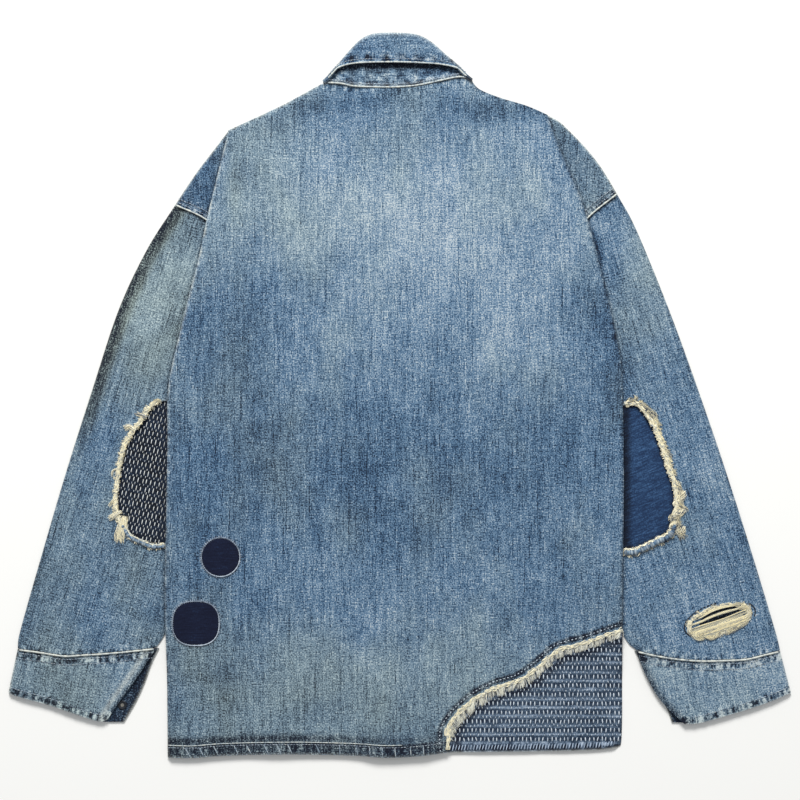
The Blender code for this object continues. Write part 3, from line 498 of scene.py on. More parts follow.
def triangulate(outline: Array, step: float, rows: list[Array] | None = None,
                holes: list[Array] | None = None) -> tuple[Array, Array]:
    """Triangles over an outline.

    Args:
        outline: The closed outline.
        step: How far apart the inner points are, in millimetres.
        rows: More points to keep, as along a seam that needs a finer mesh.
        holes: Closed loops that are left open.

    Returns:
        The flat points and the triangles, which all face up.
    """
    loops = [outline, *(holes or [])]
    edges, start = [], 0
    for loop in loops:
        edges += [(start + i, start + (i + 1) % len(loop)) for i in range(len(loop))]
        start += len(loop)
    low, high = outline.min(0), outline.max(0)
    levels = np.arange(low[1], high[1], step * math.sqrt(3) / 2)
    grid = np.array([(x + (i % 2) * step / 2, y) for i, y in enumerate(levels)
                     for x in np.arange(low[0], high[0], step)]).reshape(-1, 2)
    grid = grid[inside(grid, outline)]
    extra = np.vstack(rows) if rows else np.zeros((0, 2))
    extra = extra[inside(extra, outline)] if len(extra) else extra
    for loop in loops:
        closed = looped(loop)
        grid = grid[distance(grid, closed) > 0.45 * step]
        if len(extra):
            extra = extra[distance(extra, closed) > 0.4]
    if len(extra):
        extra = thinned(extra, 0.8)
        busy = {tuple(cell) for cell in np.floor(extra / (0.6 * step)).astype(int).tolist()}
        cells = np.floor(grid / (0.6 * step)).astype(int).tolist()
        grid = grid[[tuple(cell) not in busy for cell in cells]]
    every = np.vstack([*loops, extra, grid])
    points, _, faces, *_ = delaunay_2d_cdt([Vector(p) for p in every], edges, [], 0, 1e-4)
    points = np.array([tuple(p) for p in points])
    faces = np.array([f for f in faces if len(f) == 3])
    middle = points[faces].mean(1)
    keep = inside(middle, outline)
    for hole in holes or []:
        keep &= ~inside(middle, hole)
    faces = faces[keep]
    a, b, c = (points[faces[:, i]] for i in range(3))
    down = (b[:, 0] - a[:, 0]) * (c[:, 1] - a[:, 1]) - (b[:, 1] - a[:, 1]) * (c[:, 0] - a[:, 0]) < 0
    faces[down] = faces[down][:, ::-1]
    used, faces = np.unique(faces, return_inverse=True)
    return points[used], faces.reshape(-1, 3)


def thinned(points: Array, least: float) -> Array:
    """The points without those that share a small square with an earlier one.

    Args:
        points: The points.
        least: The square's side.

    Returns:
        The points that are left.
    """
    cells = np.floor(points / least).astype(int)
    _, first = np.unique(cells, axis=0, return_index=True)
    return points[np.sort(first)]


def spread(line: Array | Line, shares: Array) -> Array:
    """Points of a smooth curve at shares of its length.

    Args:
        line: The line's points.
        shares: Shares of its length, from 0 to 1.

    Returns:
        One point for each share.
    """
    dense = curve(line, 2)
    run = lengths_along(dense)
    at = np.asarray(shares) * run[-1]
    return np.column_stack([np.interp(at, run, dense[:, i]) for i in range(2)])


def between(top: Line, bottom: Line, outer: Line, inner: Line, across: Array, along: Array) -> Array:
    """Grid of flat points between four edges: rows along, columns from outer to inner.

    Args:
        top: The edge at the first row.
        bottom: The edge at the last row.
        outer: The edge at the first column.
        inner: The edge at the last column.
        across: Where the columns are, from 0 to 1.
        along: Where the rows are, from 0 to 1.

    Returns:
        The grid, as rows by columns by 2.
    """
    t, b = spread(top, across)[None], spread(bottom, across)[None]
    o, i = spread(outer, along)[:, None], spread(inner, along)[:, None]
    u, v = np.asarray(across)[None, :, None], np.asarray(along)[:, None, None]
    top_corners = (1 - u) * t[:, :1] + u * t[:, -1:]
    bottom_corners = (1 - u) * b[:, :1] + u * b[:, -1:]
    return (1 - v) * (t - top_corners) + v * (b - bottom_corners) + (1 - u) * o + u * i


LEFT_EDGE = np.vstack([curve(LEFT_SIDE), curve(LEFT_SHOULDER)[1:]])
RIGHT_BACK_EDGE = np.vstack([curve(RIGHT_SHOULDER), curve(RIGHT_SIDE)[1:]])
RIGHT_EDGE = np.vstack([RIGHT_BACK_EDGE, curve(RIGHT_LOWER_SIDE)[1:]])
HEM_LINE = np.vstack([curve(LEFT_HEM), curve(RIGHT_HEM)[1:]])
BODY = joined(LEFT_EDGE, curve(NECK), RIGHT_EDGE, HEM_LINE[::-1])
BODY_COARSE = BODY[::4]


@dataclass(frozen=True)
class Layers:
    """Heights of the layers over the surface that the jacket lies on."""

    body_hollow: float = 2.2
    lap_rise: float = 1.9
    wing_rise: float = 1.6
    armhole_rise: float = 3.0
    over_sleeve_rise: float = 4.6
    sleeve_tucked: float = 4.0
    sleeve_edge: float = 3.2
    sleeve_loft: float = 1.8
    cuff_edge: float = 3.9
    cuff_loft: float = 1.1
    shoulder_top: float = 4.8
    elbow_patch_top: float = 2.5
    hem_band: float = 18.0
    hem_rise: float = 0.5
    curl_width: float = 6.0
    side_drop: float = 2.6
    armhole_drop: float = 1.2
    slope: float = 45.0
    far: float = 500.0

    def sleeve_region(self, side: Side) -> Array:
        """Where a sleeve or a folded shoulder lies under the back.

        Args:
            side: The sleeve's side.

        Returns:
            A closed loop, which runs well past the jacket.
        """
        top = [(self.far, 310), (150, 310), (146, 240), (150, 165), (154, 20), (158, -50)]
        inner = SLEEVE_INNER[side]
        top = [(side.sign * x, y) for x, y in top]
        return np.array(top + inner + [(side.sign * self.far, inner[-1][1])], float)

    def overlap_region(self, side: Side) -> Array:
        """Where the front lies on the sleeve too, below the underarm.

        Args:
            side: The sleeve's side.

        Returns:
            A closed loop, which runs well past the jacket.
        """
        inner = SLEEVE_INNER[side]
        outboard = [(side.sign * self.far, inner[-1][1]), (side.sign * self.far, 16)]
        return np.array([UNDERARM_NOTCH[side]] + inner[1:] + outboard, float)

    def curl(self, away: Array, drop: float | Array) -> Array:
        """How far a rounded edge has dropped at a distance from it."""
        t = np.clip(1 - away / self.curl_width, 0, 1)
        return drop * (1 - np.sqrt(1 - t * t))

    def back_under(self, points: Array) -> Array:
        """Underside of the back.

        Args:
            points: Flat points, in millimetres.

        Returns:
            Its height at each point.
        """
        rise = self.lap_rise * smooth_step((48 - np.abs(points[:, 0])) / 24)
        for side in Side:
            under, over = (smooth_step((depth(points, region(side)) + self.slope) / self.slope)
                           for region in (self.sleeve_region, self.overlap_region))
            more = self.over_sleeve_rise - self.armhole_rise
            rise = np.maximum(rise, self.armhole_rise * under + more * over)
        away = np.minimum(distance(points, LEFT_EDGE), distance(points, RIGHT_EDGE))
        drop = self.side_drop - (self.side_drop - self.armhole_drop) * smooth_step((points[:, 1] + 130) / 80)
        return CLOTH + self.body_hollow + rise - self.curl(away, drop) + creased(points, BACK_CREASES)

    def front_top(self, points: Array, side: Side) -> Array:
        """Upper side of a front.

        Args:
            points: Flat points, in millimetres.
            side: The front's side.

        Returns:
            Its height at each point.
        """
        region = self.overlap_region(side)
        rise = self.over_sleeve_rise * smooth_step((depth(points, region) + 25) / 25)
        for wing in Side:
            rise = np.maximum(rise, self.wing_rise * smooth_step((depth(points, wing_loop(wing)) + 27) / 20))
        if side is Side.RIGHT:
            rise += self.lap_rise * smooth_step((45 - points[:, 0]) / 25)
        return rise + CLOTH

    def sleeve_top(self, points: Array, side: Side) -> Array:
        """Upper side of a sleeve, pressed flatter where the body lies on it.

        Args:
            points: Flat points, in millimetres.
            side: The sleeve's side.

        Returns:
            Its height at each point.
        """
        outer, inner = curve(SLEEVE_OUTER[side]), curve(SLEEVE_INNER[side])
        away = np.minimum(distance(points, outer), distance(points, inner))
        free = self.sleeve_edge + self.sleeve_loft * smooth_step(away / 30) + creased(points, SLEEVE_CREASES)
        tucked = smooth_step((depth(points, BODY_COARSE) + 18) / 18)
        return free * (1 - tucked) + np.minimum(free, self.sleeve_tucked) * tucked


LAYERS = Layers()


def wing_loop(side: Side) -> Array:
    """Outline of a collar wing."""
    return joined(curve(WING_INNER[side]), evenly(WING_OUTER[side], 8))


@dataclass
class Cloth:
    """A stretch of mesh, and what its finish reads at each point.

    grain is the place on the cloth in millimetres, across and along its warp. tones
    holds lightness, wear to cream, the dark of unfaded dye together with painted shade,
    and the share of the finish's cast. Lightness also carries some painted shade, and a
    painted sheen on the round patches. seam holds the place along the nearest seam, the
    distance from it and how much the cloth puckers there. finish is the number of the
    piece's material.
    """

    points: Array
    faces: Array
    grain: Array
    tones: Array
    seam: Array
    finish: int = 0


@dataclass(frozen=True)
class Spot:
    """A soft place that is paler or darker than the cloth around it, or has more cast. Most are fades; a few darker
    ones are painted shade.
    """

    x: float
    y: float
    across: float
    along: float
    amount: float

    def at(self, points: Array) -> Array:
        """What the spot adds at each point."""
        far = ((points[:, 0] - self.x) / self.across) ** 2 + ((points[:, 1] - self.y) / self.along) ** 2
        return self.amount * np.exp(-far)


@dataclass(frozen=True)
class Seam:
    """A seam or hem, which puckers the cloth beside it and keeps some of its dye."""

    line: Array
    reach: float = 6.0
    strength: float = 1.0
    pucker: float = 0.5
    pitch: float = 8.0
    seed: int = 1


def seamed(points: Array, seams: list[Seam]) -> tuple[Array, Array]:
    """What the seams do to a piece.

    Args:
        points: The flat points of the piece.
        seams: The seams that it has.

    Returns:
        The seam attribute of each point, and how far the puckers lift it.
    """
    marks, lift = np.zeros((len(points), 3)), np.zeros(len(points))
    for seam in seams:
        away, along = nearest(points, seam.line)
        power = seam.strength * near(away, seam.reach)
        lift += seam.pucker * wavy(along, seam.pitch, seam.seed) * near(away, 0.8 * seam.reach)
        stronger = power > marks[:, 2]
        marks[stronger] = np.column_stack([along + 500 * seam.seed, away, power])[stronger]
    return marks, lift


def tones_of(light: Array | float, wear: Array | float = 0.0, dye_and_shade: Array | float = 0.0,
             cast: Array | float = 0.0) -> Array:
    """The tones attribute from its four parts, each for every point, thread or piece."""
    return np.stack(np.broadcast_arrays(light, wear, dye_and_shade, cast), axis=-1).astype(float)


def shades(points: Array, base: float, spots: list[Spot], wear: Array | float = 0.0,
           dye_and_shade: Array | float = 0.0, cast: Array | float = 0.0) -> Array:
    """The tones of a piece of cloth.

    Args:
        points: Its flat points.
        base: Its lightness where no spot is.
        spots: Where it is paler or darker: fades, and in a few places painted shade.
        wear: How far it has worn to cream.
        dye_and_shade: How much unfaded dye it has kept, together with the shade painted on it.
        cast: The share of the finish's cast.

    Returns:
        The tones attribute of each point, from 0 to 1.
    """
    light = base + sum((spot.at(points) for spot in spots), np.zeros(len(points)))
    return np.clip(tones_of(light, wear, dye_and_shade, cast), 0, 1)


def normals_of(points: Array, faces: Array) -> Array:
    """The upright of the surface at each point.

    Args:
        points: Points in space.
        faces: The triangles.

    Returns:
        A unit vector for each point.
    """
    a, b, c = (points[faces[:, i]] for i in range(3))
    up = np.cross(b - a, c - a)
    total = np.zeros_like(points)
    for i in range(3):
        for axis in range(3):
            total[:, axis] += np.bincount(faces[:, i], up[:, axis], len(points))
    return total / np.maximum(np.linalg.norm(total, axis=1), 1e-12)[:, None]


def thickened(points: Array, faces: Array, thick: float) -> tuple[Array, Array]:
    """A closed wall of cloth under a surface, with a rim along its open edges.

    Args:
        points: The upper surface's points.
        faces: Its triangles.
        thick: How thick the cloth is.

    Returns:
        The wall's points, upper ones first, and its triangles.
    """
    count = len(points)
    lower = points - normals_of(points, faces) * thick
    a = faces.ravel()
    b = np.roll(faces, -1, axis=1).ravel()
    open_edge = ~np.isin(a * count + b, b * count + a)
    a, b = a[open_edge], b[open_edge]
    rim = np.vstack([np.column_stack([b, a, a + count]), np.column_stack([b, a + count, b + count])])
    return np.vstack([points, lower]), np.vstack([faces, faces[:, ::-1] + count, rim])


def welded(points: Array, faces: Array, digits: int) -> tuple[Array, Array]:
    """Joins the points that are in one place.

    Args:
        points: Points in space.
        faces: Their triangles.
        digits: How many digits after the decimal point have to agree.

    Returns:
        Which points stay, and the triangles between those, without any that has closed up.
    """
    _, first, back_to = np.unique(np.round(points, digits), axis=0, return_index=True, return_inverse=True)
    faces = back_to.ravel()[faces]
    a, b, c = faces.T
    return first, faces[(a != b) & (b != c) & (a != c)]


def grid_faces(rows: int, columns: int) -> Array:
    """Triangles of a grid of points, row after row.

    Args:
        rows: How many rows it has.
        columns: How many points a row has.

    Returns:
        The triangles.
    """
    j, i = np.meshgrid(np.arange(rows - 1), np.arange(columns - 1), indexing="ij")
    a = (j * columns + i).ravel()
    b, c, d = a + 1, a + columns + 1, a + columns
    return np.vstack([np.column_stack([a, b, c]), np.column_stack([a, c, d])])


def threads(paths: Array, radii: Array, tones: Array, sides: int = 3, finish: int = 0) -> Cloth:
    """Many round threads, each closed at both ends.

    Args:
        paths: Points along each thread, as threads by points by 3.
        radii: The radius at each of those points.
        tones: The tones of each thread, or of each of its points.
        sides: How many sides a thread has.
        finish: Which of the piece's finishes the threads take.

    Returns:
        All the threads as one stretch of mesh.
    """
    count, steps = paths.shape[:2]
    along = np.gradient(paths, axis=1)
    along /= np.maximum(np.linalg.norm(along, axis=2), 1e-9)[..., None]
    across = np.cross(along, UP)
    across /= np.maximum(np.linalg.norm(across, axis=2), 1e-9)[..., None]
    rise = np.cross(across, along)
    turn = 2 * math.pi * np.arange(sides) / sides
    ring = np.cos(turn)[:, None] * across[:, :, None] + np.sin(turn)[:, None] * rise[:, :, None]
    points = (paths[:, :, None] + radii[..., None, None] * ring).reshape(-1, 3)
    first = (np.arange(count)[:, None] * steps + np.arange(steps - 1)).ravel() * sides
    faces = []
    for k in range(sides):
        m = (k + 1) % sides
        faces.append(np.column_stack([first + k, first + m, first + sides + m]))
        faces.append(np.column_stack([first + k, first + sides + m, first + sides + k]))
    start = np.arange(count) * steps * sides
    end = start + (steps - 1) * sides
    for k in range(1, sides - 1):
        faces.append(np.column_stack([start, start + k + 1, start + k]))
        faces.append(np.column_stack([end, end + k, end + k + 1]))
    run = np.cumsum(np.linalg.norm(np.diff(paths, axis=1, prepend=paths[:, :1]), axis=2), axis=1)
    around = np.broadcast_to(np.arange(sides) * 0.7, (count, steps, sides))
    run = np.broadcast_to(run[..., None], (count, steps, sides))
    own = np.broadcast_to(np.arange(count)[:, None, None] * 3.1, (count, steps, sides))
    grain = np.stack([around + own, run + 5 * own, own], axis=-1).reshape(-1, 3)
    tones = np.asarray(tones, float)
    tones = tones[:, None] if tones.ndim == 2 else tones
    tones = np.broadcast_to(tones[:, :, None], (count, steps, sides, 4)).reshape(-1, 4)
    return Cloth(points, np.vstack(faces), grain, tones, np.zeros((len(points), 3)), finish)


def on_line(line: Array, at: Array) -> tuple[Array, Array]:
    """Places at lengths along a line, and the line's direction there.

    Args:
        line: The line's points.
        at: Lengths along it.

    Returns:
        The places and the unit vectors.
    """
    run = lengths_along(line)
    place = np.column_stack([np.interp(at, run, line[:, i]) for i in range(line.shape[1])])
    ahead = np.column_stack([np.interp(at + 1, run, line[:, i]) for i in range(line.shape[1])])
    behind = np.column_stack([np.interp(at - 1, run, line[:, i]) for i in range(line.shape[1])])
    way = ahead - behind
    return place, way / np.maximum(np.linalg.norm(way, axis=1), 1e-9)[:, None]


@dataclass(frozen=True)
class Stitching:
    """A row of machine stitches in cotton thread."""

    pitch: float = 3.3
    length: float = 2.5
    radius: float = 0.38
    lift: float = 0.15
    tone: float = 0.34
    wear: float = 0.0
    washed: float = 0.7

    def along(self, line: Array, seed: int, finish: int = 1) -> Cloth:
        """The stitches along a line of points in space.

        Args:
            line: Where they run, as points in space.
            seed: Starts the random numbers.
            finish: Which of the piece's finishes it takes.

        Returns:
            The stitches as one stretch of mesh.
        """
        rng = np.random.default_rng(seed)
        run = lengths_along(line)[-1]
        at = np.arange(self.pitch / 2, run - self.pitch / 2, self.pitch)
        place, way = on_line(line, at)
        paths = place[:, None] + way[:, None] * (STITCH * self.length)[None, :, None]
        paths[..., 2] += self.lift * ARCH
        radii = np.broadcast_to(self.radius * np.array([0.35, 0.9, 1.0, 0.9, 0.35]), (len(at), 5))
        light = np.clip(self.tone + rng.normal(0, 0.12, len(at)), 0, 1)
        wear = np.clip(self.wear + rng.normal(0, 0.2, len(at)), 0, 1)
        return threads(paths, radii, tones_of(light, wear, cast=self.washed), 5, finish)


@dataclass(frozen=True)
class Piping:
    """The raised edge of a seam, where the dye has worn off to the cotton's cream."""

    width: float = 1.5
    height: float = 1.1
    sink: float = 0.15
    wear: float = 0.8
    uneven: float = 0.22
    tone: float = 0.8

    def along(self, line: Array, seed: int, finish: int = 0) -> Cloth:
        """The worn edge along a line of points in space.

        Args:
            line: Where it runs, as points in space.
            seed: Starts the random numbers.
            finish: Which of the piece's finishes it takes.

        Returns:
            The edge as one stretch of mesh.
        """
        even = evenly(line, 1.6)
        run = lengths_along(even)
        rough = wavy(run, 6, seed)
        rougher = wavy(run, 2.6, seed + 50)
        paths = even.copy()
        paths[:, 2] += self.height / 2 - self.sink + 0.12 * rough
        radii = self.width / 2 * (1 + self.uneven * (0.6 * rough + 0.4 * rougher))
        radii[[0, -1]] *= 0.4
        tones = np.clip(tones_of(self.tone + 0.1 * rougher, self.wear + 0.15 * rough + 0.15 * rougher), 0, 1)
        return threads(paths[None], np.maximum(radii, 0.25)[None], tones[None], 6, finish)


def heights(ground: Ground, flat: Array) -> Array:
    """Heights of a surface at flat points, in an array of any shape."""
    return ground(flat.reshape(-1, 2)).reshape(flat.shape[:-1])


def with_height(line: Array, height: Array | float) -> Array:
    """A flat line as points in space."""
    return np.column_stack([line[:, :2], np.broadcast_to(height, len(line))])


def sew(name: str, cloths: list[Cloth], finishes: list[bpy.types.Material], replaced: str | None) -> bpy.types.Object:
    """Makes one piece of the jacket and lets it ride on the jacket's body.

    Args:
        name: The piece's name.
        cloths: Its stretches of mesh.
        finishes: The materials that they name by number.
        replaced: The solid whose place it takes, if it takes one's.

    Returns:
        The new object.
    """
    start, faces, index = 0, [], []
    for cloth in cloths:
        faces.append(cloth.faces + start)
        index.append(np.full(len(cloth.faces), cloth.finish))
        start += len(cloth.points)
    faces = np.vstack(faces)
    mesh = bpy.data.meshes.new(name)
    points = np.vstack([cloth.points for cloth in cloths]) * MM
    mesh.from_pydata(points.tolist(), [], faces.tolist())
    mesh.polygons.foreach_set("material_index", np.concatenate(index).astype(np.int32))
    for material in finishes:
        mesh.materials.append(material)
    for label, kind, target in (("grain", "FLOAT_VECTOR", "vector"), ("seam", "FLOAT_VECTOR", "vector"),
                                ("tones", "FLOAT_COLOR", "color")):
        values = np.vstack([getattr(cloth, label) for cloth in cloths]).astype(np.float32)
        mesh.attributes.new(label, kind, "POINT").data.foreach_set(target, values.ravel())
    mesh.shade_smooth()
    mesh.set_sharp_from_angle(angle=math.radians(60))
    piece = bpy.data.objects.new(name, mesh)
    bpy.context.scene.collection.objects.link(piece)
    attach(piece, "root")
    if replaced:
        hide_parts(replaced)
    log.info("%s: %d triangles", name, len(faces))
    return piece


def linear(sheet: str) -> tuple[float, float, float, float]:
    """A colour given as sRGB hex, as the shader's linear values."""
    parts = [int(sheet[i:i + 2], 16) / 255 for i in (1, 3, 5)]
    return (*(p / 12.92 if p <= 0.04045 else ((p + 0.055) / 1.055) ** 2.4 for p in parts), 1.0)


def node(tree: bpy.types.NodeTree, kind: str, inputs: dict | None = None, **settings) -> bpy.types.Node:
    """Adds a node.

    Args:
        tree: The material's node tree.
        kind: The node's type, after the words ShaderNode.
        inputs: What each input gets, by name or number: a value, another node's socket,
            or another node for its first output.
        settings: The node's own properties.

    Returns:
        The new node.
    """
    made = tree.nodes.new("ShaderNode" + kind)
    for name, value in settings.items():
        setattr(made, name, value)
    for socket, value in (inputs or {}).items():
        if isinstance(value, bpy.types.Node):
            value = value.outputs[0]
        if isinstance(value, bpy.types.NodeSocket):
            tree.links.new(value, made.inputs[socket])
        else:
            made.inputs[socket].default_value = value
    return made


def blank_material(name: str) -> tuple[bpy.types.Material, bpy.types.NodeTree]:
    """A new material and its empty node tree.

    Args:
        name: What the material is called.

    Returns:
        The material and its tree.
    """
    material = bpy.data.materials.new(name)
    material.use_nodes = True
    material.node_tree.nodes.clear()
    return material, material.node_tree


@dataclass(frozen=True)
class Unevenness:
    """One scale at which a cloth is uneven: its size in millimetres, and its weight.

    With dark_over, only what is above that share of the noise counts, and it darkens.
    """

    across: float
    along: float
    weight: float
    detail: float = 1.0
    dark_over: float | None = None


@dataclass(frozen=True)
class WovenCloth:
    """A woven cotton, dyed and faded, which reads grain, tones and seam from its mesh."""

    name: str
    stops: tuple[tuple[float, str], ...]
    weave: tuple[Unevenness, ...]
    cream: str = "#D6D9D0"
    # The dark blue that unfaded dye and painted shade both mix towards
    dye_and_shade: str = "#0E1626"
    cast: str = "#7C8A88"
    puckers: Unevenness = Unevenness(4.2, 11.0, 2.2)
    patches: Unevenness | None = None
    roughness: float = 0.9
    sheen: float = 0.08
    bump: float = 0.55
    bump_mm: float = 0.5

    def noise(self, tree: bpy.types.NodeTree, place: bpy.types.NodeSocket, size: Unevenness,
              shift: float) -> bpy.types.Node:
        """Noise from -0.5 to 0.5.

        Args:
            tree: The material's node tree.
            place: The place on the cloth, in millimetres.
            size: How wide and long the noise's flecks are.
            shift: How far the noise is moved, so that no two are alike.

        Returns:
            The last node.
        """
        place = node(tree, "VectorMath", {0: place, 1: (1 / size.across, 1 / size.along, 1),
                                          2: (shift, 2.3 * shift, 3.7 * shift)}, operation="MULTIPLY_ADD")
        found = node(tree, "TexNoise", {"Vector": place, "Scale": 1.0, "Detail": size.detail,
                                        "Roughness": 0.6})
        return node(tree, "Math", {0: found, 1: -0.5}, operation="ADD")

    def roughened(self, tree: bpy.types.NodeTree, grain: bpy.types.NodeSocket) -> bpy.types.Node:
        """The weave's noise, with that of the puckers beside a seam added.

        Args:
            tree: The material's node tree.
            grain: The place on the cloth, in millimetres.

        Returns:
            The last node, which gives the unevenness.
        """
        rough = None
        for number, size in enumerate(self.weave):
            part = self.noise(tree, grain, size, 5.1 * number)
            if size.dark_over is not None:
                part = node(tree, "Math", {0: size.dark_over, 1: part}, operation="SUBTRACT")
                part = node(tree, "Math", {0: part, 1: 0.0}, operation="MINIMUM")
            rough = node(tree, "Math", {0: part, 1: size.weight, 2: rough or 0.0}, operation="MULTIPLY_ADD")
        seam = node(tree, "Attribute", attribute_name="seam").outputs["Vector"]
        power = node(tree, "SeparateXYZ", {"Vector": seam}).outputs[2]
        pucker = self.noise(tree, seam, self.puckers, 2.7)
        pucker = node(tree, "Math", {0: pucker, 1: self.puckers.weight}, operation="MULTIPLY")
        return node(tree, "Math", {0: pucker, 1: power, 2: rough}, operation="MULTIPLY_ADD")

    def make(self) -> bpy.types.Material:
        """Builds the material.

        Returns:
            The finish of a piece of cloth or a thread.
        """
        material, tree = blank_material(self.name)
        grain = node(tree, "Attribute", attribute_name="grain").outputs["Vector"]
        tones = node(tree, "Attribute", attribute_name="tones").outputs
        tone = node(tree, "SeparateColor", {"Color": tones["Color"]}).outputs
        rough = self.roughened(tree, grain)
        value = node(tree, "Math", {0: rough, 1: tone[0]}, operation="ADD")
        ramp = node(tree, "ValToRGB", {"Fac": value})
        for number, (place, colour) in enumerate(self.stops):
            stops = ramp.color_ramp.elements
            stop = stops[number] if number < len(stops) else stops.new(place)
            stop.position = place
            stop.color = linear(colour)
        cast = tones["Alpha"]
        if self.patches:
            cast = node(tree, "Math", {0: self.noise(tree, grain, self.patches, 9.4), 1: self.patches.weight,
                                       2: cast}, operation="MULTIPLY_ADD", use_clamp=True)
        colour = ramp.outputs["Color"]
        layers = [(cast, "COLOR", self.cast)]
        # Mixes towards the dark of unfaded dye and painted shade, then towards worn cream
        for share, swing, other in ((tone[2], -1.2, self.dye_and_shade), (tone[1], 1.2, self.cream)):
            broken = node(tree, "Math", {0: rough, 1: swing, 2: 1.0}, operation="MULTIPLY_ADD")
            broken = node(tree, "Math", {0: broken, 1: share}, operation="MULTIPLY", use_clamp=True)
            layers.append((broken, "MIX", other))
        for share, way, other in layers:
            colour = node(tree, "Mix", {0: share, 6: colour, 7: linear(other)}, data_type="RGBA",
                          blend_type=way).outputs[2]
        bump = node(tree, "Bump", {"Strength": self.bump, "Distance": self.bump_mm * MM, "Height": rough})
        shader = node(tree, "BsdfPrincipled", {"Base Color": colour, "Roughness": self.roughness,
                                               "Specular IOR Level": 0.15, "Sheen Weight": self.sheen,
                                               "Sheen Roughness": 0.6, "Normal": bump})
        node(tree, "OutputMaterial", {"Surface": shader})
        return material


# Indigo warp over undyed weft, ring spun and stone washed: the dye has worn off the tops
# of the warp yarns, so the eye sees pale flecks, streaks along both yarns, dark upright
# streaks, and broad soft fades. The yarns are 0.7 mm apart and the twill 1 mm, too fine
# to show, so the flecks are drawn 1.3 mm wide. Here and there it has turned greyer.
WASHED_DENIM = WovenCloth(
    "washed_denim",
    stops=((0.0, "#142236"), (0.22, "#304B68"), (0.5, "#5A7996"), (0.75, "#8A9FB2"), (1.0, "#BDC8CE")),
    weave=(Unevenness(1.3, 1.6, 1.2, 0), Unevenness(1.4, 11, 0.68), Unevenness(11, 1.4, 0.46),
           Unevenness(3.6, 30, 0.36), Unevenness(2.4, 90, 0.3), Unevenness(1.4, 60, 1.5, 0, 0.17),
           Unevenness(24, 34, 0.24, 2), Unevenness(90, 130, 0.34, 2)),
    patches=Unevenness(70, 110, 1.1, 2),
)

# Plain-woven cotton in dark indigo, with rows of running stitches: the cloth between the
# rows has rubbed paler, so it shows level bands a stitch row apart.
SASHIKO_CLOTH = WovenCloth(
    "sashiko_cotton",
    stops=((0.0, "#080D18"), (0.3, "#1C2A3E"), (0.55, "#3E5064"), (0.8, "#7A8CA2"), (1.0, "#AEBCCA")),
    weave=(Unevenness(1.6, 2.0, 0.7), Unevenness(12, 1.6, 0.5), Unevenness(2.0, 12, 0.3),
           Unevenness(25, 25, 0.3, 2)),
    bump=0.4,
)

# Deep indigo plain weave that was never washed much: near-black blue and matt, with
# faint paler weft yarns.
INDIGO_CLOTH = WovenCloth(
    "indigo_plain_weave",
    stops=((0.0, "#0B1128"), (0.25, "#131B34"), (0.55, "#20385A"), (0.8, "#3F6088"), (1.0, "#7089AE")),
    weave=(Unevenness(11, 1.5, 0.6), Unevenness(1.6, 2.0, 0.5), Unevenness(30, 6, 0.3, 2)),
    sheen=0.05,
    bump=0.35,
)

# Undyed carded cotton: soft cream where it was pulled out of the weave, bluish white in
# the stitches that were washed with the cloth, and grey where dye has come off on it.
# The yarns are 0.3 mm thick and drawn at 0.5 to 0.6 mm.
COTTON_THREAD = WovenCloth(
    "undyed_cotton_thread",
    stops=((0.0, "#1E2A3C"), (0.25, "#8A93A0"), (0.5, "#CDCEC2"), (0.76, "#EFE6C6"), (1.0, "#FFF9DE")),
    weave=(Unevenness(2.0, 3.0, 0.4), Unevenness(4.0, 10, 0.35)),
    cast="#AFC4E0",
    sheen=0.1,
    bump=0.2,
)


@dataclass(frozen=True)
class PressedSteel:
    """Thin steel, pressed and tumbled: dull, with a soft broken reflection."""

    name: str = "pressed_steel"
    colour: str = "#D8D4C6"
    dull: str = "#3C3F45"
    roughness: tuple[float, float] = (0.32, 0.5)
    stain_mm: float = 1.6

    def make(self) -> bpy.types.Material:
        """Builds the material.

        Returns:
            The button's finish.
        """
        material, tree = blank_material(self.name)
        place = node(tree, "TexCoord").outputs["Object"]
        stain = node(tree, "TexNoise", {"Vector": place, "Scale": 1 / (self.stain_mm * MM), "Detail": 3.0})
        tones = node(tree, "Attribute", attribute_name="tones").outputs["Color"]
        rim = node(tree, "SeparateColor", {"Color": tones})
        stain = node(tree, "Math", {0: stain, 1: rim}, operation="ADD", use_clamp=True)
        colour = node(tree, "Mix", {0: stain, 6: linear(self.colour), 7: linear(self.dull)},
                      data_type="RGBA").outputs[2]
        rough = node(tree, "MapRange", {"Value": stain, "To Min": self.roughness[0],
                                        "To Max": self.roughness[1]})
        shader = node(tree, "BsdfPrincipled", {"Base Color": colour, "Metallic": 1.0, "Roughness": rough})
        node(tree, "OutputMaterial", {"Surface": shader})
        return material


@dataclass(frozen=True)
class StudioPaper:
    """Matt white seamless paper, the studio's floor: even, with no gloss."""

    name: str = "studio_paper"
    colour: str = "#F7F7F5"
    roughness: float = 1.0
    fibre_mm: float = 0.8

    def make(self) -> bpy.types.Material:
        """Builds the material.

        Returns:
            The floor's finish.
        """
        material, tree = blank_material(self.name)
        place = node(tree, "TexCoord").outputs["Object"]
        fibre = node(tree, "TexNoise", {"Vector": place, "Scale": 1 / (self.fibre_mm * MM)})
        bump = node(tree, "Bump", {"Strength": 0.05, "Distance": 0.1 * MM, "Height": fibre})
        shader = node(tree, "BsdfPrincipled", {"Base Color": linear(self.colour), "Normal": bump,
                                               "Roughness": self.roughness, "Specular IOR Level": 0.0})
        node(tree, "OutputMaterial", {"Surface": shader})
        return material


@dataclass
class Wardrobe:
    """The finishes, each made once."""

    denim: bpy.types.Material = field(default_factory=WASHED_DENIM.make)
    sashiko: bpy.types.Material = field(default_factory=SASHIKO_CLOTH.make)
    indigo: bpy.types.Material = field(default_factory=INDIGO_CLOTH.make)
    cotton: bpy.types.Material = field(default_factory=COTTON_THREAD.make)
    steel: bpy.types.Material = field(default_factory=PressedSteel().make)
    paper: bpy.types.Material = field(default_factory=StudioPaper().make)


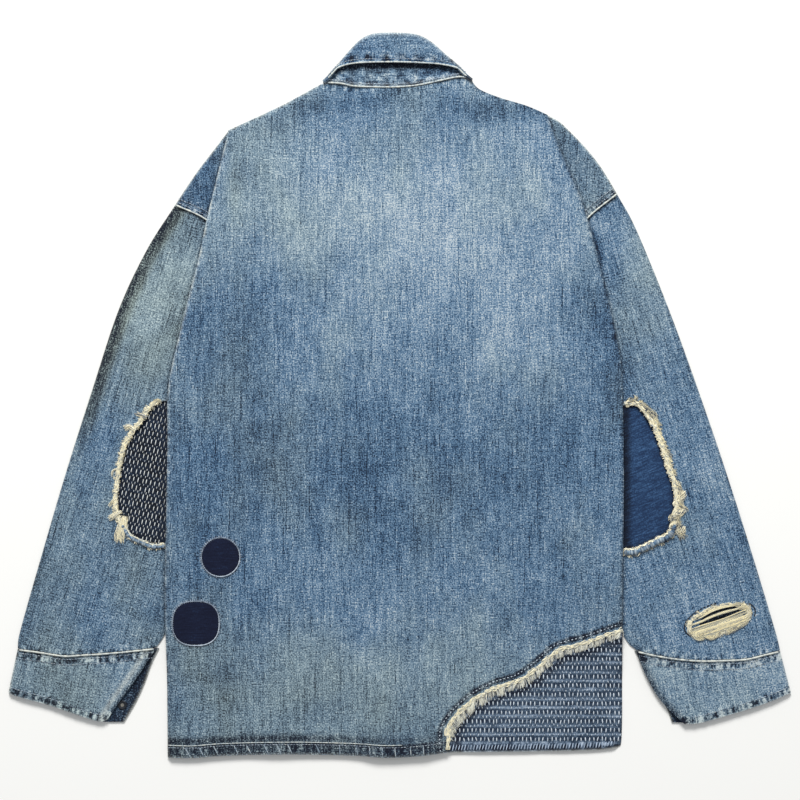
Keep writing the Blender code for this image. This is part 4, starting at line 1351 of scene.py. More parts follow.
@dataclass
class SubAssembly:
    """A part of the jacket that is cut, sewn and dressed as one."""

    wardrobe: Wardrobe

    def cut(self, points: Array, faces: Array, thick: float, tones: Array, marks: Array,
            grain: Array | None = None) -> Cloth:
        """A wall of cloth under a surface, with the same finish on both sides.

        Args:
            points: The upper surface, in millimetres.
            faces: Its triangles.
            thick: How thick the cloth is.
            tones: The tones attribute of each point.
            marks: The seam attribute of each point.
            grain: The place on the cloth, where it isn't the place in the jacket.

        Returns:
            The closed wall.
        """
        solid, every = thickened(points, faces, thick)
        flat = points if grain is None else grain
        flat = np.column_stack([flat[:, :2], np.zeros(len(flat))])
        grain = np.vstack([flat, flat + UNDERSIDE_SHIFT])
        return Cloth(solid, every, grain, np.vstack([tones, tones]), np.vstack([marks, marks]))

    def declare(self, piece: bpy.types.Object, width: float, length: float, area: float, rests_on: list,
                with_pieces: list | None = None, held: str = "laid") -> None:
        """Takes what size the cloth was cut to, in millimetres, and does nothing with it."""

    def declare_as(self, piece: bpy.types.Object, outline: Array, rests_on: list,
                   with_pieces: list | None = None, held: str = "laid") -> None:
        """Hands an outline's size and area to declare, which does nothing with them."""
        self.declare(piece, *np.ptp(outline, axis=0), abs(area_of(outline)), rests_on, with_pieces, held)


@dataclass
class BackPanel(SubAssembly):
    """The back: one piece of washed denim with its turned hem."""

    step: float = 4.4
    base: float = 0.46
    cut_size: tuple[float, float] = (512.0, 746.0)
    rumple: float = 0.35
    hem_ridge: float = 13.5
    tear_row: float = 7.5
    slants: tuple[float, ...] = (-233, -218, -202, -180, -166, -147, -133, -121, -90)
    uprights: tuple[float, ...] = (-66, -47, -33, -19, -5, 12, 26)
    # The dark spots at (236, 30) by the right edge, at (120, 314) and (-88, 318) on the shoulder line and at (0, 325)
    # below the collar are painted shade.
    spots: list[Spot] = field(default_factory=lambda: [
        Spot(20, 200, 200, 130, 0.20), Spot(75, 165, 60, 95, 0.05), Spot(143, 130, 50, 50, 0.03),
        Spot(-10, -95, 200, 85, -0.09), Spot(-168, 90, 18, 100, -0.12), Spot(236, 30, 26, 80, -0.20),
        Spot(20, -310, 190, 70, 0.05), Spot(120, 314, 62, 13, -0.26), Spot(-88, 318, 40, 12, -0.20),
        Spot(-200, 60, 30, 60, -0.06), Spot(205, 110, 26, 50, -0.08), Spot(-215, -100, 30, 70, -0.05),
        Spot(-190, -20, 40, 190, -0.07), Spot(-80, 220, 90, 40, 0.05), Spot(110, 60, 110, 40, 0.07),
        Spot(-215, -330, 60, 60, -0.13), Spot(-60, -345, 120, 26, -0.05), Spot(0, 325, 60, 12, -0.10),
        Spot(-20, 270, 60, 40, -0.04)])

    def outline(self) -> Array:
        """The back's outline, with the torn corner left out."""
        return joined(LEFT_EDGE, curve(NECK), RIGHT_BACK_EDGE, curve(TEAR)[::-1], curve(LEFT_HEM)[::-1])

    def height(self, points: Array) -> Array:
        """The back's upper side, before its seams pucker.

        Args:
            points: Flat points, in millimetres.

        Returns:
            Its height at each point.
        """
        hem = smooth_step((LAYERS.hem_band - 2 - distance(points, HEM_LINE)) / 2)
        settled = smooth_step(np.minimum(distance(points, LEFT_EDGE), distance(points, RIGHT_EDGE)) / 14)
        soft = self.rumple * (rumpled(points, 55, 3) + 0.5 * rumpled(points, 22, 4)) * settled
        return LAYERS.back_under(points) + CLOTH + LAYERS.hem_rise * hem + soft

    def seams(self) -> list[Seam]:
        """The seams that pucker the back."""
        hem = curve(LEFT_HEM)
        return [Seam(offset(hem, 7.5), 6.5, 0.55, 0.45, 11, 1),
                Seam(offset(hem, self.hem_ridge + 3), 4.0, 0.3, 0.3, 9, 2),
                Seam(offset(curve(TEAR), self.tear_row), 4.5, 0.7, 0.35, 8, 3),
                Seam(offset(curve(NECK), -3), 5.0, 0.7, 0.3, 8, 4),
                Seam(LEFT_EDGE, 4.0, 0.5, 0.0, 12, 5),
                Seam(RIGHT_EDGE, 4.0, 0.5, 0.0, 12, 6)]

    def tones(self, points: Array) -> Array:
        """How the dye has worn, from the fades down to the hem's roping, and where shade is painted on the back.

        Args:
            points: Flat points, in millimetres.

        Returns:
            The tones attribute of each point.
        """
        hem, tear = curve(LEFT_HEM), curve(TEAR)
        low, along = nearest(points, hem)
        left, climb = nearest(points, LEFT_EDGE)
        right = distance(points, RIGHT_BACK_EDGE)
        torn = distance(points, tear)
        upper = smooth_step((points[:, 1] + 100) / 200)
        wear = 0.42 * near(left, 1.8) * (0.3 + 0.7 * upper) * (0.7 + 0.4 * wavy(climb, 14, 21))
        wear += 0.18 * near(low, 1.3)
        band = (low < self.hem_ridge) * 0.8
        # shadow is a painted shadow above the hem's ridge.
        shadow = 0.95 * near(low - self.hem_ridge - 4.0, 5.0) * (0.4 + 0.6 * near(along, 220, 4))
        navy = 0.95 * near(torn - self.tear_row, 3.3, 4)
        # The 0.45 along the right edge and the 0.16 along the lower left edge are painted shade where the back rolls
        # over.
        dye_and_shade = np.clip(band + shadow + navy, 0, 0.9) + 0.45 * near(right, 2.6)
        dye_and_shade += 0.16 * near(left, 9) * (1 - upper)
        x, y = points.T
        cast = Spot(-182, 225, 9, 36, 0.35).at(points)
        cast += 0.32 * smooth_step((-190 - y) / 120) + 0.08 * smooth_step((y - 60) / 120)
        cast += Spot(-120, 200, 90, 90, 0.16).at(points)
        cast += 0.10 * near(x + 200, 60)
        return shades(points, self.base, self.spots, wear, dye_and_shade, cast)

    def build(self) -> bpy.types.Object:
        """Makes the back.

        Returns:
            The piece.
        """
        rows = beside(LEFT_EDGE, -1, EDGE_ROWS) + beside(RIGHT_BACK_EDGE, -1, EDGE_ROWS)
        rows += beside(curve(LEFT_HEM), 1, np.arange(1.2, 24, 2.0), SEAM_STEP)
        rows += beside(curve(TEAR), 1, (1.5, 3.5, 5.5, 7.5, 9.5, 11.5, 14), SEAM_STEP)
        rows += beside(curve(NECK), -1, (1, 2.5, 4.5, 7), SEAM_STEP)
        points, faces = triangulate(self.outline(), self.step, rows)
        marks, lift = seamed(points, self.seams())
        top = np.column_stack([points, self.height(points) + lift])
        cloth = self.cut(top, faces, CLOTH, self.tones(points), marks)
        parts = [cloth, *self.hem_work(), *self.tear_work()]
        return sew("back_panel", parts, [self.wardrobe.denim, self.wardrobe.cotton], "back")

    def on_back(self, line: Array, up: float = 0.0) -> Array:
        """A flat line laid on the back."""
        flat = line[:, :2]
        return with_height(flat, self.height(flat) + seamed(flat, self.seams())[1] + up)

    def hem_work(self) -> list[Cloth]:
        """The hem's worn edge, its stitches, and the pale tops of its twisted folds.

        Returns:
            Their stretches of mesh.
        """
        ridge = evenly(offset(curve(LEFT_HEM), self.hem_ridge), 3)
        below = evenly(offset(curve(LEFT_HEM), 0.4), 3)
        parts = [Piping(1.0, 0.7, wear=0.55).along(self.on_back(ridge[:-16], 0.05), 31),
                 Piping(0.9, 0.7, wear=0.1, tone=0.3).along(self.on_back(below, -0.6), 32),
                 Stitching().along(self.on_back(evenly(offset(curve(LEFT_HEM), 11.0), 3)), 33)]
        laid = []
        for x in (*self.slants, *self.uprights):
            lean = 2.6 if x in self.slants else 0.4
            foot = np.interp(x, *curve(LEFT_HEM).T)
            shares = np.linspace(-0.5, 0.5, 7)
            laid.append(self.on_back(np.column_stack([x - lean * 2 * shares, foot + 6.4 + 10.5 * shares])))
        radii = np.tile(0.6 * np.array([0.3, 0.8, 1, 1, 1, 0.8, 0.3]), (len(laid), 1))
        parts.append(threads(np.array(laid), radii, tones_of(np.full(len(laid), 0.68), 0.2), 5))
        return parts

    def tear_work(self) -> list[Cloth]:
        """The row of small white stitches on the navy band above the tear."""
        row = evenly(offset(curve(TEAR), self.tear_row), 3)
        return [Stitching(4.2, 1.8, 0.55, 0.3, 0.66).along(self.on_back(row), 34)]


@dataclass
class TornCorner(SubAssembly):
    """The stitched cloth behind the torn corner of the back, and the tear's fringe."""

    cut_size: tuple[float, float] = (200.0, 150.0)
    step: float = 3.4
    column: float = 4.6
    row: float = 9.8
    columns_from_to: tuple[float, float] = (52.0, 244.0)
    rows_from_to: tuple[float, float] = (-378.0, -262.0)
    stitch: float = 4.8
    fringe: tuple[float, float] = (9.5, 14.0)
    strands_per_mm: float = 4.2

    def height(self, points: Array) -> Array:
        """The cloth's upper side."""
        soft = 0.2 * rumpled(points, 24, 8)
        return np.maximum(LAYERS.back_under(points) - GAP - 0.1, PATCH_CLOTH + 0.1) + soft

    def outline(self) -> Array:
        """The cloth's outline, which runs on under the back.

        Returns:
            A closed loop.
        """
        lapped = offset(curve(TEAR, 8), SASHIKO_UNDERLAP)
        lapped = lapped[lapped[:, 0] < 232]
        below = offset(curve(TEAR, 8), -SEAM_GAP)[-2:]
        return joined(lapped, below, curve(RIGHT_LOWER_SIDE)[1:], curve(RIGHT_HEM)[::-1],
                      evenly([RIGHT_HEM[0], tuple(lapped[0])], 4))

    def build_cloth(self) -> bpy.types.Object:
        """Makes the stitched cloth.

        Returns:
            The piece.
        """
        hem, side = curve(RIGHT_HEM), curve(RIGHT_LOWER_SIDE)
        rows = beside(hem, 1, (1, 2.4, 4, 6, 8, 10), SEAM_STEP) + beside(side, -1, EDGE_ROWS)
        points, faces = triangulate(self.outline(), self.step, rows)
        low, edge = distance(points, hem), distance(points, side)
        marks, lift = seamed(points, [Seam(offset(hem, 5), 5, 0.8, 0.35, 6, 9), Seam(side, 3, 0.5, 0, 8, 10)])
        between_rows = 0.5 + 0.5 * np.cos(2 * math.pi * (points[:, 1] + 392) / self.row)
        dye_and_shade = 0.6 * near(low - 1.5, 2) + 0.5 * near(edge, 1.5)
        # Painted shadow of the tear's fringe on the cloth below it.
        dye_and_shade += 0.95 * near(distance(points, offset(curve(TEAR), -11.5)), 4.0)
        wear = 0.35 * near(low, 0.9)
        tones = shades(points, 0.33, [Spot(160, -340, 90, 30, 0.04)], wear, dye_and_shade)
        tones[:, 0] += 0.42 * between_rows ** 2
        top = np.column_stack([points, self.height(points) + lift])
        cloth = self.cut(top, faces, PATCH_CLOTH, tones, marks)
        return sew("torn_corner_cloth", [cloth], [self.wardrobe.sashiko], "sashiko_corner")

    def build_stitches(self) -> bpy.types.Object:
        """Makes the rows of running stitches, and the hem's slanted ones.

        Returns:
            The piece, which goes with the cloth.
        """
        rng = np.random.default_rng(11)
        outline = offset_loop(joined(curve(TEAR), curve(RIGHT_LOWER_SIDE)[1:], curve(RIGHT_HEM)[::-1]), -1.5)
        places = []
        for j, y in enumerate(np.arange(*self.rows_from_to, self.row / 2)):
            shift = (j % 2) * self.column / 2
            places += [(x + shift, y, j % 2) for x in np.arange(*self.columns_from_to, self.column)]
        places = np.array(places)
        middle = places[:, :2] + rng.normal(0, 0.35, (len(places), 2))
        keep = inside(middle, outline)
        middle, odd = middle[keep], places[keep, 2]
        size = np.where(odd > 0, 0.45, 1.0) * self.stitch * rng.uniform(0.8, 1.1, len(middle))
        paths = np.zeros((len(middle), 5, 3))
        paths[..., 0] = middle[:, None, 0] + rng.normal(0, 0.5, len(middle))[:, None] * STITCH
        paths[..., 1] = middle[:, None, 1] + size[:, None] * STITCH
        paths[..., 2] = heights(self.height, paths[..., :2]) + 0.35 * ARCH
        radii = np.where(odd > 0, 0.48, 0.66)[:, None] * SPINDLE
        light = np.clip(rng.normal(0.74, 0.12, len(middle)) - 0.12 * odd, 0.1, 1)
        stitches = [threads(paths, radii, tones_of(light, cast=0.65), 5), self.slanted_row(rng)]
        return sew("torn_corner_stitches", stitches, [self.wardrobe.cotton], None)

    def slanted_row(self, rng: np.random.Generator) -> Cloth:
        """The dense slanted stitches along the corner's hem.

        Args:
            rng: The corner's random numbers.

        Returns:
            The stitches as one stretch of mesh.
        """
        line = evenly(offset(curve(RIGHT_HEM), 5.5), 3.3)[1:-1]
        paths = np.zeros((len(line), 5, 3))
        paths[..., 0] = line[:, None, 0] + 1.6 * STITCH
        paths[..., 1] = line[:, None, 1] + 6.0 * STITCH * rng.uniform(0.8, 1.15, len(line))[:, None]
        paths[..., 2] = heights(self.height, paths[..., :2]) + 0.4
        light = np.clip(rng.normal(0.55, 0.12, len(line)), 0, 1)
        return threads(paths, np.tile(0.6 * SPINDLE, (len(line), 1)), tones_of(light, cast=0.85), 5)

    def build_fringe(self, back: BackPanel) -> bpy.types.Object:
        """Makes the cream fringe along the tear.

        Args:
            back: The back, whose edge it is.

        Returns:
            The piece, which goes with the back.
        """
        root = evenly(offset(curve(TEAR), 1.8), 1.0)
        root = root[root[:, 1] > -374]
        fringe = Fringe(self.fringe, self.strands_per_mm, lean=-0.35, curl=0.7, tuft_mm=5.0, gather=0.45,
                        light=0.92, washed=0.25, taper=0.3)
        cloths = fringe.along(back.on_back(root, 0.3), -1, 41, ground=lambda flat: self.height(flat) + 0.9)
        end = back.on_back(evenly([(53, -366), (51, -389)], 1), 0.2)
        tail = Fringe((2, 4), self.strands_per_mm, lean=0.5, curl=0.6, light=0.9, washed=0.25)
        cloths += tail.along(end, 1, 42, ground=lambda flat: self.height(flat) + 0.7)
        return sew("tear_fringe", cloths, [self.wardrobe.cotton], "fray_hem")


@dataclass(frozen=True)
class Fringe:
    """Loose cotton yarns that stand out from a torn edge."""

    reach: tuple[float, float]
    per_mm: float = 3.0
    lean: float = 0.0
    curl: float = 1.0
    radius: float = 0.27
    body: float = 0.45
    dark: float = 0.14
    steps: int = 6
    tuft_mm: float = 3.0
    gather: float = 0.7
    light: float = 0.78
    washed: float = 0.0
    taper: float = 0.0

    def along(self, root: Array, side: int, seed: int, ground: Ground | None = None) -> list[Cloth]:
        """The yarns of an edge.

        Args:
            root: Points in space along the edge.
            side: 1 if they point to the left of the way it runs, and -1 to the right.
            seed: Starts the random numbers.
            ground: Gives the height of what they lie on, at flat points.

        Returns:
            The fringe's stretches of mesh.
        """
        rng = np.random.default_rng(seed)
        run = lengths_along(root)
        count = int(run[-1] * self.per_mm)
        at = np.sort(rng.uniform(0, run[-1], count))
        place, way = on_line(root, at)
        out = side * np.column_stack([-way[:, 1], way[:, 0]])
        out /= np.linalg.norm(out, axis=1)[:, None]
        tuft = np.floor(at / self.tuft_mm + 0.3 * wavy(at, 9, seed + 1)).astype(int)
        tuft -= tuft.min()
        turns, swells, lights = (rng.normal(0, 1, tuft.max() + 1)[tuft] for _ in range(3))
        gather = (np.bincount(tuft, at)[tuft] / np.bincount(tuft)[tuft] - at) * rng.uniform(0.2, 1, count)
        gather *= self.gather
        angle = 0.4 * self.gather * turns + rng.normal(0, 0.13, count) + self.lean
        c, s = np.cos(angle), np.sin(angle)
        heading = np.column_stack([c * out[:, 0] - s * out[:, 1], s * out[:, 0] + c * out[:, 1]])
        share = np.clip(0.5 + 0.4 * self.gather * swells + rng.uniform(-0.35, 0.35, count), -0.2, 1.15)
        length = self.reach[0] + (self.reach[1] - self.reach[0]) * share
        length = length * (1 - self.taper * at / run[-1])
        shares = np.linspace(0, 1, self.steps)
        flat = place[:, None, :2] + (heading * length[:, None])[:, None] * shares[None, :, None]
        flat = flat + (way[:, :2] * gather[:, None])[:, None] * smooth_step(shares * 1.4)[None, :, None]
        bend = rng.normal(0, self.curl, count)[:, None]
        bend = bend * np.sin(math.pi * shares * rng.uniform(0.7, 1.6, count)[:, None])
        cross = np.column_stack([-heading[:, 1], heading[:, 0]])
        flat = flat + cross[:, None] * bend[..., None]
        level = rng.uniform(0, 1.3, count)[:, None] * (0.4 + 0.6 * shares)
        floor = place[:, 2, None] * np.ones(self.steps)
        if ground is not None:
            floor = floor * (1 - shares) + heights(ground, flat) * shares
        paths = np.concatenate([flat, (floor + level)[..., None]], axis=2)
        radii = self.radius * rng.uniform(0.75, 1.35, count)[:, None] * np.linspace(1.1, 0.55, self.steps)
        light = np.where(rng.uniform(0, 1, count) < self.dark, rng.uniform(0, 0.3, count),
                         rng.normal(self.light, 0.10, count) + 0.09 * lights)
        light = np.clip(light[:, None] - 0.16 * (1 - shares) + 0.04, 0, 1)
        cloths = [threads(paths, radii, tones_of(light, cast=self.washed), 3)]
        if self.body:
            cloths.append(self.matted(root, side, seed))
        return cloths

    def matted(self, root: Array, side: int, seed: int) -> Cloth:
        """The twisted yarns that lie along the edge, at the foot of the others.

        Args:
            root: Points in space along the edge.
            side: 1 if the fringe points to the left of the way it runs, and -1 to the right.
            seed: Starts the random numbers.

        Returns:
            The yarns as one stretch of mesh.
        """
        rng = np.random.default_rng(seed + 9)
        paths, radii, lights = [], [], []
        even = evenly(root, 1.5)
        run = lengths_along(even)
        flat = even[:, :2]
        way = np.gradient(flat, axis=0)
        way /= np.linalg.norm(way, axis=1)[:, None]
        out = side * np.column_stack([-way[:, 1], way[:, 0]])
        for number in range(7):
            away = rng.uniform(-0.6, 2.6) + 0.9 * wavy(run, 11, seed + 20 + number)
            high = even[:, 2] + 0.2 + 0.5 * rng.uniform(0, 1) + 0.25 * wavy(run, 6, seed + 40 + number)
            paths.append(np.column_stack([flat + out * away[:, None], high]))
            radii.append(self.body * (1 + 0.35 * wavy(run, 7, seed + 60 + number)))
            lights.append(np.clip(0.68 + 0.28 * wavy(run, 5, seed + 80 + number), 0.05, 1))
        return threads(np.array(paths), np.maximum(radii, 0.15), tones_of(np.array(lights)), 4)


@dataclass
class RoundPatch(SubAssembly):
    """A round patch of dark indigo cloth, whipped on to the back."""

    centre: tuple[float, float] = (0.0, 0.0)
    half: tuple[float, float] = (20.0, 20.0)
    power: float = 2.0
    label: str = "upper"
    step: float = 2.6

    def build(self, back: BackPanel) -> list[bpy.types.Object]:
        """Makes the patch, and the ring of thread around it.

        Args:
            back: The back, which it is sewn on.

        Returns:
            The patch and its ring.
        """
        outline = round_loop(self.centre, self.half, self.power, 90)
        rows = [offset_loop(outline, -by) for by in EDGE_ROWS[:3]]
        points, faces = triangulate(outline, self.step, rows)
        edge = distance(points, looped(outline))
        ground = back.height(points) + GAP + PATCH_CLOTH
        top = np.column_stack([points, ground - 0.5 * np.exp(-edge / 0.8) + 0.12 * rumpled(points, 14, 51)])
        # A painted sheen: an upright paler band down the patch's middle.
        sheen = 0.10 * near(points[:, 0] - self.centre[0], 12)
        tones = shades(points, 0.08, [], 0, 0.1 * near(edge, 2))
        tones[:, 0] += sheen
        cloth = self.cut(top, faces, PATCH_CLOTH, tones, np.zeros((len(points), 3)))
        patch = sew(f"round_patch_cloth_{self.label}", [cloth], [self.wardrobe.indigo],
                    f"round_patch_{self.label}")
        ring = sew(f"round_patch_ring_{self.label}", self.ring(outline, back), [self.wardrobe.cotton], None)
        self.declare(patch, 2 * self.half[0], 2 * self.half[1], abs(area_of(outline)), ["back_panel"], [ring])
        return [patch, ring]

    def ring(self, outline: Array, back: BackPanel) -> list[Cloth]:
        """The raised ring of thread, with its small radial stitches.

        Args:
            outline: The patch's outline.
            back: The back, which it lies on.

        Returns:
            The ring and its stitches.
        """
        loop, flat = looped(outline), looped(offset_loop(outline, 0.3))
        height = back.height(flat) + GAP + 0.75
        turn = np.arctan2(flat[:, 1] - self.centre[1], flat[:, 0] - self.centre[0])
        run = lengths_along(flat)
        bright = 0.30 + 0.30 * np.clip(np.cos(turn + 0.9), -0.2, 1) + 0.12 * wavy(run, 5, 52)
        tones = tones_of(np.clip(bright, 0, 1), cast=0.7)
        radii = 0.55 * (1 + 0.2 * wavy(run, 4, 53))
        ring = threads(with_height(flat, height)[None], radii[None], tones[None], 5)
        at = np.arange(0, lengths_along(loop)[-1], 2.3)
        place, way = on_line(loop, at)
        out = np.column_stack([way[:, 1], -way[:, 0]])
        shares = np.linspace(-0.25, 1.0, 5)
        flat = place[:, None] + (out * 2.6)[:, None] * shares[None, :, None]
        lifted = heights(back.height, flat) + np.array([GAP + PATCH_CLOTH, 0.9, 0.5, 0.25, 0.0])
        paths = np.concatenate([flat, lifted[..., None]], axis=2)
        # The stitches on the right side are darker: painted shade beside the patch.
        light = np.clip(0.33 + 0.2 * wavy(at, 4, 54) - 0.25 * np.clip(out[:, 0], 0, 1), 0, 1)
        radii = np.tile(0.42 * np.array([0.5, 1, 1, 0.9, 0.4]), (len(at), 1))
        return [ring, threads(paths, radii, tones_of(light, cast=0.7), 4)]


@dataclass
class FrontPanel(SubAssembly):
    """A front, which lies face down under the back."""

    side: Side = Side.LEFT
    neck: float = 251.0
    hem: float = -394.0
    edge_step: float = 6.0
    step: float = 9.0

    def outline(self) -> Array:
        """From its lap to the side seam, armhole and shoulder fold.

        Returns:
            A closed loop.
        """
        side, sign = self.side, self.side.sign
        armhole = offset(curve(ARMHOLE[side])[::-1], sign * SEAM_GAP)
        kept = (np.abs(armhole[:, 0]) < abs(FRONT_DROP[side][0][0])) & (armhole[:, 1] > -68)
        lap = -sign * FRONT_LAP
        step = self.edge_step
        front_edge = evenly([(lap, self.neck), (lap, self.hem)], step)
        hem = evenly([(lap, self.hem), FRONT_SIDE[side][0]], step)
        return joined(hem, curve(FRONT_SIDE[side], step), evenly(FRONT_UNDERARM[side][:2], step),
                      FRONT_UNDERARM[side][1:], armhole[kept], curve(FRONT_DROP[side], step),
                      curve(FRONT_SHOULDER[side], step), curve(FRONT_NECK[side], step), front_edge)

    def build(self) -> bpy.types.Object:
        """Makes the front.

        Returns:
            The piece.
        """
        outline = self.outline()
        over = LAYERS.overlap_region(self.side)
        rows = beside(evenly(SLEEVE_INNER[self.side], 6), -self.side.sign, (0, 8, 16, 25))
        points, faces = triangulate(outline, self.step, rows)
        height = LAYERS.front_top(points, self.side)
        height[distance(points, over[:2]) < 0.1] = CLOTH + LAYERS.over_sleeve_rise
        loop = looped(outline)
        edge = distance(points, loop)
        marks, _ = seamed(points, [Seam(loop, 8, 0.8, 0.0, 10, 61)])
        tones = shades(points, 0.5, [Spot(0, 100, 240, 190, 0.16)], 0.35 * near(edge, 2))
        cloth = self.cut(np.column_stack([points, height]), faces, CLOTH, tones, marks)
        piece = sew(f"front_panel_{self.side.value}", [cloth], [self.wardrobe.denim],
                    f"front_{self.side.value}")
        self.declare_as(piece, outline, [f"sleeve_tube_{self.side.value}"])
        return piece


@dataclass
class ShoulderFold(SubAssembly):
    """The back's own cloth where it folds under itself and drops to the armhole."""

    side: Side = Side.LEFT
    step: float = 3.4
    base: float = 0.36
    tilt: float = math.radians(4)

    def seam(self) -> Array:
        """The armhole seam at its lower edge.

        Returns:
            The part of it that is near the shoulder.
        """
        line = curve(ARMHOLE[self.side])
        line = line[line[:, 1] > SHOULDER_HIDDEN[self.side][0][1] + 4]
        return offset(line, -self.side.sign * SEAM_GAP)

    def build(self) -> bpy.types.Object:
        """Makes the folded shoulder, with its piping and two rows of stitches.

        Returns:
            The piece.
        """
        side, inward = self.side, -self.side.sign
        seam, drop = self.seam(), curve(DROP_EDGE[side])
        outline = joined(drop[:-1], seam, curve(SHOULDER_HIDDEN[side], 8))
        rows = beside(seam, inward, (1.2, 2.4, 3.8, 5.4, 7.2, 9.4), 2.2)
        rows += beside(drop, inward, (0.8, 1.8, 3.2, 5.0))
        points, faces = triangulate(outline, self.step, rows)
        folded = distance(points, drop)
        low = distance(points, seam)
        marks, lift = seamed(points, [Seam(offset(seam, inward * 3), 5, 1.0, 0.35, 7, 70 + side.sign),
                                      Seam(offset(seam, inward * 7.5), 3, 0.8, 0.2, 7, 72 + side.sign)])
        height = LAYERS.shoulder_top - LAYERS.curl(folded, LAYERS.side_drop) + 0.25 * rumpled(points, 20, 73)
        height += 0.5 * smooth_step((8 - low) / 2) * smooth_step((folded - 3) / 5)
        wear = 0.45 * near(folded, 1.2)
        # 0.7 at the seam is a painted shadow by the piping, and 0.55 along the back's edge is its painted shadow; the
        # band within 11 mm of the seam is unfaded dye.
        dye_and_shade = 0.30 * smooth_step((11 - low) / 4) + 0.7 * near(low, 1.2)
        dye_and_shade += 0.55 * near(np.abs(depth(points, BODY_COARSE)), 2.2)
        dye_and_shade += 0.28 * (0.5 + 0.5 * rumpled(points, 9, 74)) if side is Side.LEFT else 0.08
        paler, cast = (0.0, 0.05) if side is Side.LEFT else (0.08, 0.35)
        tones = shades(points, self.base + paler, self.spots(), wear, dye_and_shade, cast)
        cloth = self.cut(np.column_stack([points, height + lift]), faces, CLOTH, tones, marks,
                         turned(points, side.sign * self.tilt))
        shown = seam[depth(seam, BODY_COARSE) < 2]
        edge = with_height(shown, LAYERS.shoulder_top + 0.4)
        parts = [cloth, Piping(1.7, 1.3, wear=0.8).along(edge, 75)]
        for by, seed in ((3.4, 76), (7.6, 77)):
            row = with_height(offset(shown, inward * by), LAYERS.shoulder_top + 0.65)
            parts.append(Stitching(tone=0.4).along(row, seed))
        piece = sew(f"shoulder_fold_{side.value}", parts, [self.wardrobe.denim, self.wardrobe.cotton],
                    f"shoulder_{side.value}")
        self.declare_as(piece, outline, [f"sleeve_tube_{side.value}"], held="folded")
        return piece

    def spots(self) -> list[Spot]:
        """Where the dropped shoulder is darker or paler."""
        if self.side is Side.LEFT:
            return [Spot(-215, 228, 9, 16, -0.14), Spot(-196, 275, 8, 14, 0.06)]
        # On the right, the darker spots at (165, 297) and (178, 276) lie on the back's edge and paint its shadow.
        return [Spot(165, 297, 8, 10, -0.24), Spot(178, 276, 6, 22, -0.2), Spot(214, 184, 8, 10, 0.1)]


